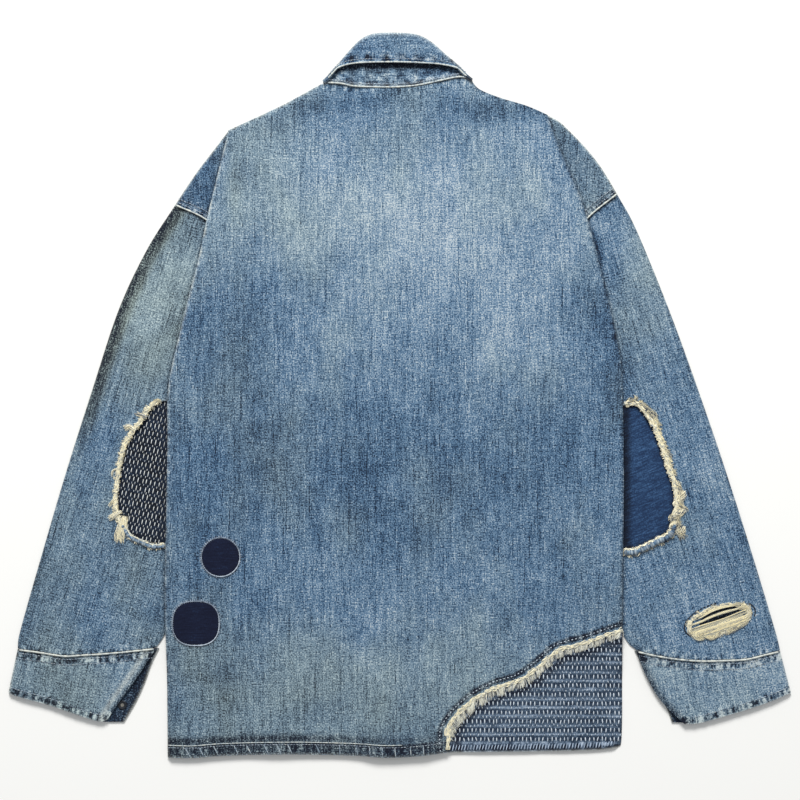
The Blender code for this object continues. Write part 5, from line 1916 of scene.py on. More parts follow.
@dataclass
class SleeveTube(SubAssembly):
    """A sleeve: a flattened tube of denim from the armhole to the cuff."""

    side: Side = Side.LEFT
    step: float = 3.6
    under_step: float = 14.0
    fold_radius: float = 3.2
    tilt: float = math.radians(16)
    base: float = 0.5
    widest: float = 1.12  # over the mean width
    spots: list[Spot] = field(default_factory=list)

    def __post_init__(self) -> None:
        """Sets where this sleeve is paler or darker."""
        if self.side is Side.LEFT:
            self.base = 0.39
            # Spot(-250, 75) is painted shadow in the fold by the body's edge.
            self.spots = [Spot(-240, 140, 26, 26, 0.20), Spot(-270, 90, 34, 40, 0.20),
                          Spot(-250, 75, 12, 14, -0.14), Spot(-330, -60, 45, 110, 0.03),
                          Spot(-365, -230, 60, 60, 0.03), Spot(-262, -215, 26, 70, 0.04),
                          Spot(-205, 165, 12, 20, -0.12), Spot(-280, 20, 40, 40, 0.05),
                          Spot(-400, -200, 14, 80, -0.06)]
        else:
            self.base = 0.46
            # Spot(216, 160) and Spot(238, 130) paint the shade in the crease below the armhole, and Spot(250, 20) the
            # shadow along the body's edge.
            self.spots = [Spot(222, 186, 13, 9, 0.24), Spot(246, 158, 22, 40, 0.12),
                          Spot(216, 160, 9, 20, -0.34), Spot(238, 130, 9, 26, -0.16),
                          Spot(290, 105, 30, 60, 0.08), Spot(300, 30, 60, 26, -0.07),
                          Spot(340, -120, 50, 80, 0.05), Spot(300, -225, 46, 40, 0.07),
                          Spot(250, 20, 10, 60, -0.12)]

    def hole(self) -> Array:
        """The elbow's hole."""
        return curve(ELBOW_HOLE[self.side], 3, closed=True)

    def rip(self, grow: float = 0.0) -> Array:
        """The rip above the right cuff."""
        flat = round_loop((0, 0), (RIP_HALF[0] + grow, RIP_HALF[1] + grow), 2, 50)
        return turned(flat, RIP_TURN + RIP_SLANT, RIP_CENTRE)

    def height(self, points: Array) -> Array:
        """The sleeve's upper side, before its folded edges turn down.

        Args:
            points: Flat points, in millimetres.

        Returns:
            Its height at each point.
        """
        soft = 0.4 * rumpled(points, 50, 81 + self.side.sign) + 0.18 * rumpled(points, 20, 84)
        free = smooth_step((2 - depth(points, BODY_COARSE)) / 12)
        return LAYERS.sleeve_top(points, self.side) + soft * free

    def grain(self, points: Array) -> Array:
        """The place on the sleeve's own cloth, whose warp runs down the arm."""
        return turned(points, self.side.sign * -self.tilt)

    def build(self) -> bpy.types.Object:
        """Makes the sleeve: its upper side in fine mesh, welded to a coarser, level underside.

        Returns:
            The piece.
        """
        side = self.side
        top_line, low_line = curve(ARMHOLE[side]), curve(CUFF_SEAM[side])
        outer, inner = curve(SLEEVE_OUTER[side]), curve(SLEEVE_INNER[side])
        outline = joined(top_line, inner[1:], low_line[::-1][1:], outer[::-1][1:])
        holes = [self.hole()] + ([self.rip()] if side is Side.RIGHT else [])
        rows = beside(outer, -side.sign, EDGE_ROWS[:4])
        rows += beside(low_line, 1, (1.2, 2.6, 4.2, 6, 8, 10), 2.2)
        rows += beside(top_line, -side.sign, (1.2, 2.6, 4.2, 6, 8), SEAM_STEP)
        points, faces = triangulate(outline, self.step, rows, holes)
        torn = [self.rip(4.0), self.rip(-3.0)] if side is Side.RIGHT else []
        folded = beside(outer, -side.sign, [5], 6) + beside(inner, side.sign, [5], 6)
        below, below_faces = triangulate(outline, self.under_step, torn + folded)
        marks, lift = seamed(points, [Seam(low_line, 6, 0.9, 0.4, 5, 85 + side.sign),
                                      Seam(top_line, 6, 0.8, 0.35, 8, 88), Seam(outer, 3, 0.4, 0, 9, 89)])
        away = np.minimum(distance(points, outer), distance(points, inner))
        middle = LAYERS.sleeve_edge / 2
        t = np.clip(1 - away / self.fold_radius, 0, 1)
        height = middle + (self.height(points) + lift - middle) * np.sqrt(1 - t * t)
        height[away < 0.05] = middle
        on_fold = np.minimum(distance(below, outer), distance(below, inner)) < 0.05
        low = np.column_stack([below, np.where(on_fold, middle, 0.0)])
        every = np.vstack([np.column_stack([points, height]), low])
        first, faces = welded(every, np.vstack([faces, below_faces[:, ::-1] + len(points)]), 2)
        # Painted shade inside the sleeve: the underside seen through the rip is darkened.
        dark = 0.98 * smooth_step((depth(below, self.rip()) + 5) / 5) if torn else 0.0
        tones = np.vstack([self.tones(points), shades(below, self.base, self.spots, dye_and_shade=dark)])[first]
        marks = np.vstack([marks, np.zeros((len(below), 3))])[first]
        surface = every[first]
        cloth = self.cut(surface, faces, CLOTH, tones, marks, self.grain(surface[:, :2]))
        parts = [cloth, *self.trims()]
        piece = sew(f"sleeve_tube_{side.value}", parts, [self.wardrobe.denim, self.wardrobe.cotton],
                    f"sleeve_{side.value}")
        area = 2 * abs(area_of(outline)) - sum(abs(area_of(hole)) for hole in holes)
        length = lengths_along(outer)[-1]
        self.declare(piece, self.widest * area / length, length, area, [])
        return piece

    def tones(self, points: Array) -> Array:
        """How the dye has worn on the sleeve, and where shade is painted on it.

        Args:
            points: Flat points, in millimetres.

        Returns:
            The tones attribute of each point.
        """
        side = self.side
        outer = curve(SLEEVE_OUTER[side])
        away, along = nearest(points, outer)
        cuff = distance(points, curve(CUFF_SEAM[side]))
        seam = distance(points, curve(ARMHOLE[side]))
        body = np.abs(depth(points, BODY))
        hole = np.abs(depth(points, self.hole()))
        wear = 0.06 * near(away, 1.3) + 0.2 * near(hole, 1.6)
        # 0.85 by the armhole seam is the painted shadow below the shoulder's piping, 0.62 by the body's edge its
        # painted shadow, and 0.14 by the outer fold painted shade where the sleeve rounds away.
        dye_and_shade = 0.20 * near(cuff, 3.0) + 0.85 * near(seam, 2.2)
        dye_and_shade += 0.62 * near(body, 2.4) + 0.14 * near(away, 6)
        if side is Side.LEFT:
            # On the left, a wide band along the outer edge is painted shade where the sleeve rounds away, darker and
            # greyer.
            rim = near(away, 13.5, 4) * (1 - smooth_step((along - 170) / 170))
            dye_and_shade += 0.86 * rim
            cast = 0.2 + 0.7 * rim
            cast += Spot(-262, 110, 60, 90, 0.42).at(points)
        else:
            cast = 0.05 + Spot(275, 140, 30, 70, 0.25).at(points)
        return shades(points, self.base, self.spots, wear, dye_and_shade, cast)

    def on_sleeve(self, line: Array, up: float = 0.0) -> Array:
        """A flat line laid on the sleeve."""
        return with_height(line, self.height(line[:, :2]) + up)

    def trims(self) -> list[Cloth]:
        """The folded rim under the elbow's hole, with its worn edge and a dark thread below it that paints the rim's
        shadow.

        Returns:
            The rim, its piping and the painted shadow below it.
        """
        loop = self.hole()
        shown = loop[(loop[:, 1] < -138) & (depth(loop, BODY_COARSE) < -1)]
        shown = shown[np.argsort(shown[:, 0])]
        wide = 4.6 if self.side is Side.LEFT else 6.8
        rim = offset(shown, -0.5 - wide / 2)
        return [Piping(wide, 1.7, sink=0.6, wear=0.12, uneven=0.3, tone=0.4).along(self.on_sleeve(rim), 91),
                Piping(1.3, 0.9, wear=0.75).along(self.on_sleeve(shown), 92),
                # A dark thread as the painted shadow below the rim
                Piping(1.7, 0.6, wear=0.0, tone=0.0).along(self.on_sleeve(offset(rim, -wide / 2)), 94)]


@dataclass
class CuffPair(SubAssembly):
    """A cuff of two plies, folded at its outer edge and open at its vent."""

    side: Side = Side.LEFT
    rows: int = 46
    columns: int = 58
    fold_radius: float = 3.5
    tilt: float = math.radians(14)
    deepest: float = 1.15  # over the mean depth
    base: float = 0.5

    def plies(self) -> tuple[Array, Array]:
        """Flat grids of the upper and the lower ply, from the fold to the vent.

        Returns:
            Both grids, as rows by columns by 2.
        """
        across = np.concatenate([[0, 0.006, 0.014, 0.024, 0.036], np.linspace(0.05, 0.96, self.columns - 8),
                                 [0.975, 0.99, 1]])
        along = np.linspace(0, 1, self.rows)
        side = self.side
        seam, outer = CUFF_SEAM[side], CUFF_OUTER[side]
        over = between(seam, CUFF_HEM_OVER[side], outer, CUFF_VENT_OVER[side], across, along)
        seam = seam[:-1] + [CUFF_VENT_UNDER[side][0]]
        under = between(seam, CUFF_HEM_UNDER[side], outer, CUFF_VENT_UNDER[side], across, along)
        over[..., 1] -= CUFF_GAP
        under[..., 1] -= CUFF_GAP
        return over, under

    def height(self, points: Array) -> Array:
        """The upper ply's upper side.

        Args:
            points: Flat points, in millimetres.

        Returns:
            Its height at each point.
        """
        fold = np.asarray(CUFF_OUTER[self.side], float) - (0, CUFF_GAP)
        away = distance(points, fold)
        loft = LAYERS.cuff_edge + LAYERS.cuff_loft * smooth_step(away / 25)
        return loft + 0.25 * rumpled(points, 26, 95 + self.side.sign)

    def seams(self) -> list[Seam]:
        """The cuff's seam to the sleeve, its second row and its hem.

        Returns:
            The seams that pucker the cuff.
        """
        side = self.side
        seam = curve(CUFF_SEAM[side], 3) - (0, CUFF_GAP)
        hem = curve(CUFF_HEM_OVER[side], 3) - (0, CUFF_GAP)
        return [Seam(seam - (0, 6), 6, 1.5, 0.45, 5, 96 + side.sign),
                Seam(hem + (0, 4), 5.0, 1.5, 0.5, 6, 99 + side.sign)]

    def build(self) -> bpy.types.Object:
        """Makes the cuff, with its piping and stitches.

        Returns:
            The piece.
        """
        side = self.side
        over, under = self.plies()
        flat = over.reshape(-1, 2)
        marks, lift = seamed(flat, self.seams())
        fold = np.asarray(CUFF_OUTER[side], float) - (0, CUFF_GAP)
        middle = LAYERS.cuff_edge / 2
        t = np.clip(1 - distance(flat, fold) / self.fold_radius, 0, 1)
        height = middle + (self.height(flat) + lift - middle) * np.sqrt(1 - t * t)
        top = np.column_stack([flat, height]).reshape(*over.shape[:2], 3)
        low = np.concatenate([under, np.zeros((*under.shape[:2], 1))], axis=2)
        t = np.clip(1 - heights(lambda at: distance(at, fold), under) / self.fold_radius, 0, 1)
        low[..., 2] = middle * (1 - np.sqrt(1 - t ** 2))
        grid = np.concatenate([top[:, ::-1], low[:, 1:]], axis=1)
        rows, columns = grid.shape[:2]
        faces = grid_faces(rows, columns)
        if side is Side.RIGHT:
            faces = faces[:, ::-1]
        points = grid.reshape(-1, 3)
        tones, under_tones = self.tones(flat), self.under_tones(under.reshape(-1, 2))
        shape = (*over.shape[:2], 4)
        both = np.concatenate([tones.reshape(shape)[:, ::-1], under_tones.reshape(shape)[:, 1:]], axis=1)
        marks = marks.reshape(*over.shape[:2], 3)
        marks = np.concatenate([marks[:, ::-1], np.zeros_like(low[:, 1:])], axis=1).reshape(-1, 3)
        grain = turned(points[:, :2], -side.sign * self.tilt)
        cloth = self.cut(points, faces, CUFF_CLOTH, both.reshape(-1, 4), marks, grain)
        piece = sew(f"cuff_plies_{side.value}", [cloth, *self.trims()],
                    [self.wardrobe.denim, self.wardrobe.cotton], f"cuff_{side.value}")
        area = self.area_of_grid(over) + self.area_of_grid(under)
        width = 2 * lengths_along(curve(CUFF_SEAM[side]))[-1]
        self.declare(piece, width, self.deepest * area / width, area, [], held="folded")
        return piece

    def area_of_grid(self, grid: Array) -> float:
        """The area that a grid of flat points covers."""
        loop = np.vstack([grid[0], grid[1:, -1], grid[-1, -2::-1], grid[-2:0:-1, 0]])
        return abs(area_of(loop))

    def tones(self, points: Array) -> Array:
        """How the upper ply has worn, and where shade is painted on it.

        Args:
            points: Flat points, in millimetres.

        Returns:
            The tones attribute of each point.
        """
        side = self.side
        seam, hem = (seam.line for seam in self.seams())
        vent = distance(points, curve(CUFF_VENT_OVER[side]))
        fold = distance(points, np.asarray(CUFF_OUTER[side], float))
        low = distance(points, hem - (0, 4))
        high = distance(points, seam + (0, 6))
        wear = 0.25 * near(low, 1.0) + 0.30 * near(fold, 2.0)
        dye_and_shade = 0.42 * near(low - 3.5, 3.6) + 0.22 * smooth_step((12 - high) / 4)
        # 0.75 at the seam is a painted shadow below the piping.
        dye_and_shade += 0.75 * near(high, 1.6)
        if side is Side.LEFT:
            wear += 0.32 * near(vent - 7, 3.0)
            # 0.75 along the vent's edge is a painted shadow.
            dye_and_shade += 0.75 * near(vent, 2.4)
            spots = [Spot(-370, -320, 40, 22, 0.03), Spot(-372, -292, 9, 5, -0.2),
                     Spot(-293, -288, 8, 5, -0.2)]
            return shades(points, self.base - 0.05, spots, wear, dye_and_shade, 0.32)
        # A painted shade along the vent.
        dye_and_shade += 0.75 * near(vent, 6.0)
        spots = [Spot(400, -310, 35, 24, 0.06), Spot(330, -305, 20, 24, -0.05)]
        return shades(points, self.base + 0.07, spots, wear, dye_and_shade, 0.2)

    def under_tones(self, points: Array) -> Array:
        """The lower ply, whose inner side shows in the vent, dark and hardly worn."""
        vent = distance(points, curve(CUFF_VENT_UNDER[self.side]) - (0, CUFF_GAP))
        return shades(points, 0.30, [], 0.4 * near(vent, 1.0), 0.96 * near(vent, 26))

    def trims(self) -> list[Cloth]:
        """The piping and stitches along the seam and the hem.

        Returns:
            Their stretches of mesh.
        """
        side = self.side
        seam = curve(CUFF_SEAM[side], 2) - (0, CUFF_GAP + 0.6)
        hem = curve(CUFF_HEM_OVER[side], 2) - (0, CUFF_GAP - 0.5)
        seam, hem = seam[1:-1], hem[2:-2]
        up = self.height(seam)
        return [Piping(1.9, 1.5, wear=0.85).along(with_height(seam, up + 0.3), 101),
                Stitching(2.9, 2.2).along(with_height(seam - (0, 3.6), up + 0.35), 102),
                Stitching(2.9, 2.2, tone=0.28).along(with_height(seam - (0, 9.6), up + 0.2), 103),
                Stitching(3.6, 2.4).along(with_height(hem + (0, 7.2), self.height(hem) + 0.15), 105)]


@dataclass
class Elbow(SubAssembly):
    """The cloth behind an elbow's hole, and the hole's frayed edge."""

    side: Side = Side.LEFT
    step: float = 3.2
    column: float = 4.7
    row: float = 8.8
    stitch: float = 5.4
    middle: tuple[float, float] = (-265.0, -80.0)
    tilt: float = math.radians(13)
    plain_tilt: float = math.radians(-22)

    def build_cloth(self) -> list[bpy.types.Object]:
        """Makes the patch: stitched on the left, plain on the right.

        Returns:
            The patch, and its stitches if it has them.
        """
        side = self.side
        loop = curve(ELBOW_HOLE[side], 4, closed=True)
        outline = offset_loop(loop, ELBOW_UNDERLAP)
        points, faces = triangulate(outline, self.step)
        seen = depth(points, loop)
        body = np.abs(depth(points, BODY_COARSE))
        height = LAYERS.elbow_patch_top - 0.12 + 0.1 * rumpled(points, 22, 111)
        # Painted shade: the shadow of the body's edge, and the shade just inside the hole's edge.
        dye_and_shade = 0.96 * near(body, 2.5 if side is Side.LEFT else 8.0, 4)
        dye_and_shade += 0.9 * near(np.maximum(seen, 0), 2.6, 4)
        grain = turned(points, side.sign * -self.tilt)
        if side is Side.LEFT:
            band = 0.5 + 0.5 * np.cos(2 * math.pi * grain[:, 1] / self.row)
            tones = shades(points, 0.10, [], 0, dye_and_shade)
            tones[:, 0] += 0.09 * band ** 2
            finish, slot = self.wardrobe.sashiko, Slot.SASHIKO
        else:
            tones = shades(points, 0.55, [Spot(258, -60, 24, 50, 0.05)], 0, dye_and_shade)
            grain = turned(points, self.plain_tilt)
            finish, slot = self.wardrobe.indigo, Slot.INDIGO
        cloth = self.cut(np.column_stack([points, height]), faces, PATCH_CLOTH, tones,
                         np.zeros((len(points), 3)), grain)
        piece = sew(f"elbow_cloth_{side.value}", [cloth], [finish], f"elbow_patch_{side.value}")
        extras = [self.build_stitches(loop)] if side is Side.LEFT else []
        self.declare_as(piece, outline, [f"sleeve_tube_{side.value}"], extras)
        return [piece, *extras]

    def build_stitches(self, loop: Array) -> bpy.types.Object:
        """Makes the rows of white running stitches.

        Args:
            loop: The elbow's hole.

        Returns:
            The piece, which goes with the patch.
        """
        rng = np.random.default_rng(112)
        reach = np.arange(-130, 130)
        places = np.array([(i * self.column + (j % 2) * self.column / 2, j * self.row / 2, j % 2)
                           for j in reach for i in reach])
        middle = places[:, :2] + rng.normal(0, 0.3, (len(places), 2))
        middle = turned(middle, -self.tilt, self.middle)
        keep = inside(middle, offset_loop(loop, -1.0))
        middle, odd = middle[keep], places[keep, 2]
        size = np.where(odd > 0, 0.5, 1.0) * self.stitch * rng.uniform(0.75, 1.15, len(middle))
        way = np.array([math.sin(self.tilt), math.cos(self.tilt)])
        flat = middle[:, None] + way * (size[:, None] * STITCH)[..., None]
        level = LAYERS.elbow_patch_top + 0.3 * ARCH
        paths = np.concatenate([flat, np.broadcast_to(level, flat.shape[:2])[..., None]], axis=2)
        radii = np.where(odd > 0, 0.38, 0.48)[:, None] * SPINDLE
        # Stitches near the body's edge are darkened: its painted shadow.
        dye_and_shade = 0.55 * near(np.abs(depth(middle, BODY_COARSE)), 7)
        light = np.clip(rng.normal(0.96, 0.14, len(middle)) - 0.36 * odd, 0.1, 1)
        stitches = threads(paths, radii, tones_of(light, dye_and_shade=dye_and_shade, cast=0.45), 5)
        return sew("elbow_stitches_left", [stitches], [self.wardrobe.cotton], None)

    def build_fringe(self, sleeve: SleeveTube) -> bpy.types.Object:
        """Makes the fringe around the hole, and the locks of yarn in it.

        Args:
            sleeve: The sleeve, which they lie on.

        Returns:
            The piece.
        """
        side = self.side
        edge = curve(ELBOW_HOLE[side][:ELBOW_FRAY_POINTS], 1.5)
        edge = offset(edge, side.sign * 1.2)
        edge = edge[depth(edge, BODY_COARSE) < -1.5]
        root = sleeve.on_sleeve(edge, 0.2)

        def ground(flat: Array) -> Array:
            """The sleeve's upper side, which the yarns lie on."""
            return sleeve.height(flat) + 0.2

        if side is Side.LEFT:
            main = Fringe((2.0, 6.0), 3.6, lean=0.25, curl=0.9, body=0.55, tuft_mm=4.0)
        else:
            main = Fringe((6.0, 10.0), 6.0, lean=-0.9, curl=1.5, radius=0.32, body=1.0, dark=0.2, tuft_mm=2.4,
                          light=0.86)
        cloths = main.along(root, side.sign, 120 + side.sign, ground)
        inner = Fringe((1.5, 3.5), 1.6, lean=0.2, curl=0.7, body=0.0)
        cloths += inner.along(root, -side.sign, 123 + side.sign, None)
        for lock in self.locks():
            cloths += lock.made(sleeve)
        return sew(f"elbow_fringe_{side.value}", cloths, [self.wardrobe.cotton],
                   f"fray_elbow_{side.value}")

    def locks(self) -> list["Lock"]:
        """The locks that stand out from the fringe on the left, and cross in a knot on the right."""
        if self.side is Side.LEFT:
            return [Lock([(-303, -132), (-304, -142), (-307, -153), (-308, -163)], 90, 5.0, 131),
                    Lock([(-305, -127), (-312, -131), (-320, -136)], 30, 2.4, 132),
                    Lock([(-273, -13), (-268, -6), (-261, -6)], 26, 1.7, 133, 0.15),
                    Lock([(-277, -24), (-285, -21), (-291, -19)], 26, 2.0, 134, 0.4),
                    Lock([(-290, -39), (-297, -34), (-303, -37)], 36, 2.6, 135, 0.15),
                    Lock([(-310, -112), (-316, -117), (-320, -124)], 14, 1.4, 136),
                    Lock([(-309, -80), (-315, -83), (-316, -91)], 8, 0.9, 137)]
        return [Lock([(303, -98), (306, -104), (310, -112)], 30, 3.6, 141, 0.25, 0.6),
                Lock([(312, -104), (309, -111), (303, -118)], 30, 3.6, 142, 0.25, 0.6),
                Lock([(304, -117), (309, -122), (313, -131)], 30, 3.2, 146, 0.3, 0.6),
                Lock([(312, -124), (307, -129), (300, -131)], 26, 2.8, 147, 0.2, 0.6),
                Lock([(296, -139), (301, -134), (307, -137)], 34, 3.0, 148, 0.55, 0.5),
                Lock([(297, -145), (303, -145), (308, -139)], 34, 3.0, 149, 0.55, 0.5),
                Lock([(303, -145), (308, -151), (313, -158)], 30, 3.0, 150, 0.3, 0.7),
                Lock([(312, -143), (310, -150), (305, -154)], 22, 2.4, 151, 0.2, 0.7),
                Lock([(249, -9), (256, -6), (263, -9)], 26, 2.2, 143, 0.3, 0.5),
                Lock([(262, -7), (268, -12), (275, -15)], 26, 2.2, 144, 0.4, 0.5),
                Lock([(269, -16), (277, -20), (281, -28)], 34, 3.2, 145, 0.5, 0.5)]


@dataclass(frozen=True)
class Lock:
    """A twisted bundle of loose yarns."""

    path: list[tuple[float, float]]
    count: int
    spread: float
    seed: int
    blue: float = 0.1
    wander: float = 0.12

    def made(self, sleeve: SleeveTube, origin: tuple[float, float] = (0.0, 0.0)) -> list[Cloth]:
        """The bundle's yarns, laid on the sleeve.

        Args:
            sleeve: The sleeve.
            origin: The place that the bundle's path is measured from.

        Returns:
            The yarns, as one stretch of mesh.
        """
        rng = np.random.default_rng(self.seed)
        line = curve([(x + origin[0], y + origin[1]) for x, y in self.path], 1.0)
        run = lengths_along(line)
        steps = 9
        paths, radii, tones = [], [], []
        for _ in range(self.count):
            start, stop = rng.uniform(0, 0.25) * run[-1], rng.uniform(0.7, 1.0) * run[-1]
            place, way = on_line(line, np.linspace(start, stop, steps))
            side = np.column_stack([-way[:, 1], way[:, 0]])
            turn = rng.uniform(0, 6.3) + rng.uniform(0.6, 1.6) * np.linspace(0, math.pi, steps)
            across = rng.uniform(-1, 1)
            swell = across * np.linspace(0.8, 1.1, steps) + 0.25 * np.sin(turn)
            sway = rng.uniform(0, 6.3) + rng.uniform(2, 7) * np.linspace(0, 1, steps)
            swell = swell + self.wander * np.sin(sway)
            flat = place + side * (self.spread * swell)[:, None]
            round_up = 1.3 * (1 - across ** 2) + 0.4 * (1 + np.cos(turn))
            high = sleeve.height(flat) + 0.4 + rng.uniform(0.3, 1) * round_up * min(1.0, self.spread / 2)
            paths.append(np.column_stack([flat, high]))
            radii.append(0.3 * rng.uniform(0.8, 1.3) * np.linspace(1.1, 0.5, steps))
            light = rng.uniform(0.05, 0.3) if rng.uniform() < self.blue else rng.normal(0.75, 0.12)
            tones.append([min(max(light, 0.0), 1.0), 0, 0, 0])
        return [threads(np.array(paths), np.array(radii), np.array(tones), 3)]


@dataclass
class Rip(SubAssembly):
    """The rip above the right cuff, with the weft that still spans it."""

    spans: tuple[tuple[float, float, float, float, int], ...] = (
        (-13.2, -9.4, -0.4, 1.1, 28), (-11.0, -7.4, -0.4, 1.3, 38), (-8.4, -5.2, -0.3, 1.5, 44),
        (-5.8, -2.8, -0.3, 1.3, 40), (-3.4, -0.2, -0.6, 0.9, 26), (-1.2, 2.8, -0.9, 0.6, 16),
        (2.8, 6.8, 1.2, 0.45, 9), (3.6, 7.6, 1.9, 0.45, 10), (7.2, 11.2, 2.7, 0.5, 12),
        (9.2, 12.8, 1.7, 0.7, 16))

    def build(self, sleeve: SleeveTube) -> bpy.types.Object:
        """Makes the threads across the rip, which part into two slits, and those around it.

        Args:
            sleeve: The sleeve, which they lie on.

        Returns:
            The piece.
        """
        rng = np.random.default_rng(151)
        half, high = WEFT_HALF
        steps = 15
        shares = np.linspace(-1, 1, steps)
        paths, radii, tones = [], [], []
        for left, right, bow, wide, count in self.spans:
            lighter, push = rng.normal(0, 0.11), rng.normal(0, 2.0)
            for _ in range(count):
                off = rng.normal(0, 0.45 * wide)
                middle = (left + right) / 2 + off
                reach = (half - 0.5) * math.sqrt(max(0.12, 1 - (middle / (high + 1.0)) ** 2))
                u = shares * reach * rng.uniform(0.8, 1.04) + push + rng.normal(0, 1.0)
                v = left + off + (right - left) * (u / (half - 2) + 1) / 2
                v = v + bow * np.cos(np.clip(u / 20, -1, 1) * math.pi / 2)
                v = v + 0.22 * wide * np.sin(shares * rng.uniform(3, 8) + rng.uniform(0, 6.3))
                flat = turned(np.column_stack([u, v]), RIP_TURN, WEFT_CENTRE)
                sag = 0.9 * (1 - shares ** 2) * rng.uniform(0.0, 1.0)
                paths.append(with_height(flat, sleeve.height(flat) + 0.85 - sag + rng.uniform(0, 0.9)))
                radii.append(0.32 * rng.uniform(0.8, 1.35) * (1 - 0.4 * shares ** 4))
                light = rng.uniform(0.05, 0.4) if rng.uniform() < 0.13 else rng.normal(0.84, 0.12) + lighter
                tones.append([min(max(light, 0.0), 1.0), 0, 0, 0])
        cloths = [threads(np.array(paths), np.array(radii), np.array(tones), 3)]
        ring = round_loop((0, 0), (half - 1.5, high - 2.0), 2, 120)
        ring = turned(looped(ring), RIP_TURN, WEFT_CENTRE)
        fray = Fringe((0.5, 6.0), 3.4, lean=0.4, curl=1.1, body=0.3, dark=0.2, tuft_mm=6.0)
        cloths += fray.along(sleeve.on_sleeve(ring, 0.3), -1, 152, lambda flat: sleeve.height(flat) + 0.3)
        cloths += [self.dark_ring(sleeve), *self.tufts(sleeve)]
        return sew("rip_weft", cloths, [self.wardrobe.cotton], "rip_threads")

    def dark_ring(self, sleeve: SleeveTube) -> Cloth:
        """The dark navy stitches along the rip's outline, above it and at both ends.

        Args:
            sleeve: The sleeve, which they lie on.

        Returns:
            The thread's stitches as one stretch of mesh.
        """
        half, high = WEFT_HALF
        ring = round_loop((0, 0), (half + 5.2, high + 3.6), 2, 60)
        flat = turned(ring, RIP_TURN, WEFT_CENTRE)
        way = turned(np.roll(ring, -1, axis=0) - ring, RIP_TURN)
        way /= np.linalg.norm(way, axis=1)[:, None]
        bearing = np.degrees(np.arctan2(ring[:, 1] / high, ring[:, 0] / half))
        keep = ((bearing > -25) & (bearing < 30)) | (bearing > 85) | (bearing < -150)
        spans = flat[keep][:, None] + way[keep][:, None] * (3.0 * STITCH)[None, :, None]
        paths = np.concatenate([spans, (heights(sleeve.height, spans) + 0.35)[..., None]], axis=2)
        radii = np.tile(0.7 * np.array([0.5, 1, 1, 1, 0.5]), (len(paths), 1))
        return threads(paths, radii, tones_of(np.zeros(len(paths)), dye_and_shade=0.85), 4)

    def tufts(self, sleeve: SleeveTube) -> list[Cloth]:
        """The swirl at the right end and the pale tufts below the rip."""
        bundles = [Lock([(20, 13), (29, 14), (32, 7), (27, 1)], 50, 2.4, 161),
                   Lock([(-30, -14), (-24, -20), (-15, -19)], 34, 2.2, 162, wander=0.5),
                   Lock([(-17, -17), (-9, -20), (0, -14)], 34, 2.0, 165, wander=0.5),
                   Lock([(4, -9), (11, -13), (19, -8)], 30, 2.0, 163, 0.3, 0.5),
                   Lock([(18, -8), (26, -5), (30, 2)], 30, 2.0, 166, 0.3, 0.5),
                   Lock([(-33, -6), (-33, -13), (-26, -16)], 30, 1.8, 164, wander=0.5)]
        return [cloth for bundle in bundles for cloth in bundle.made(sleeve, WEFT_CENTRE)]


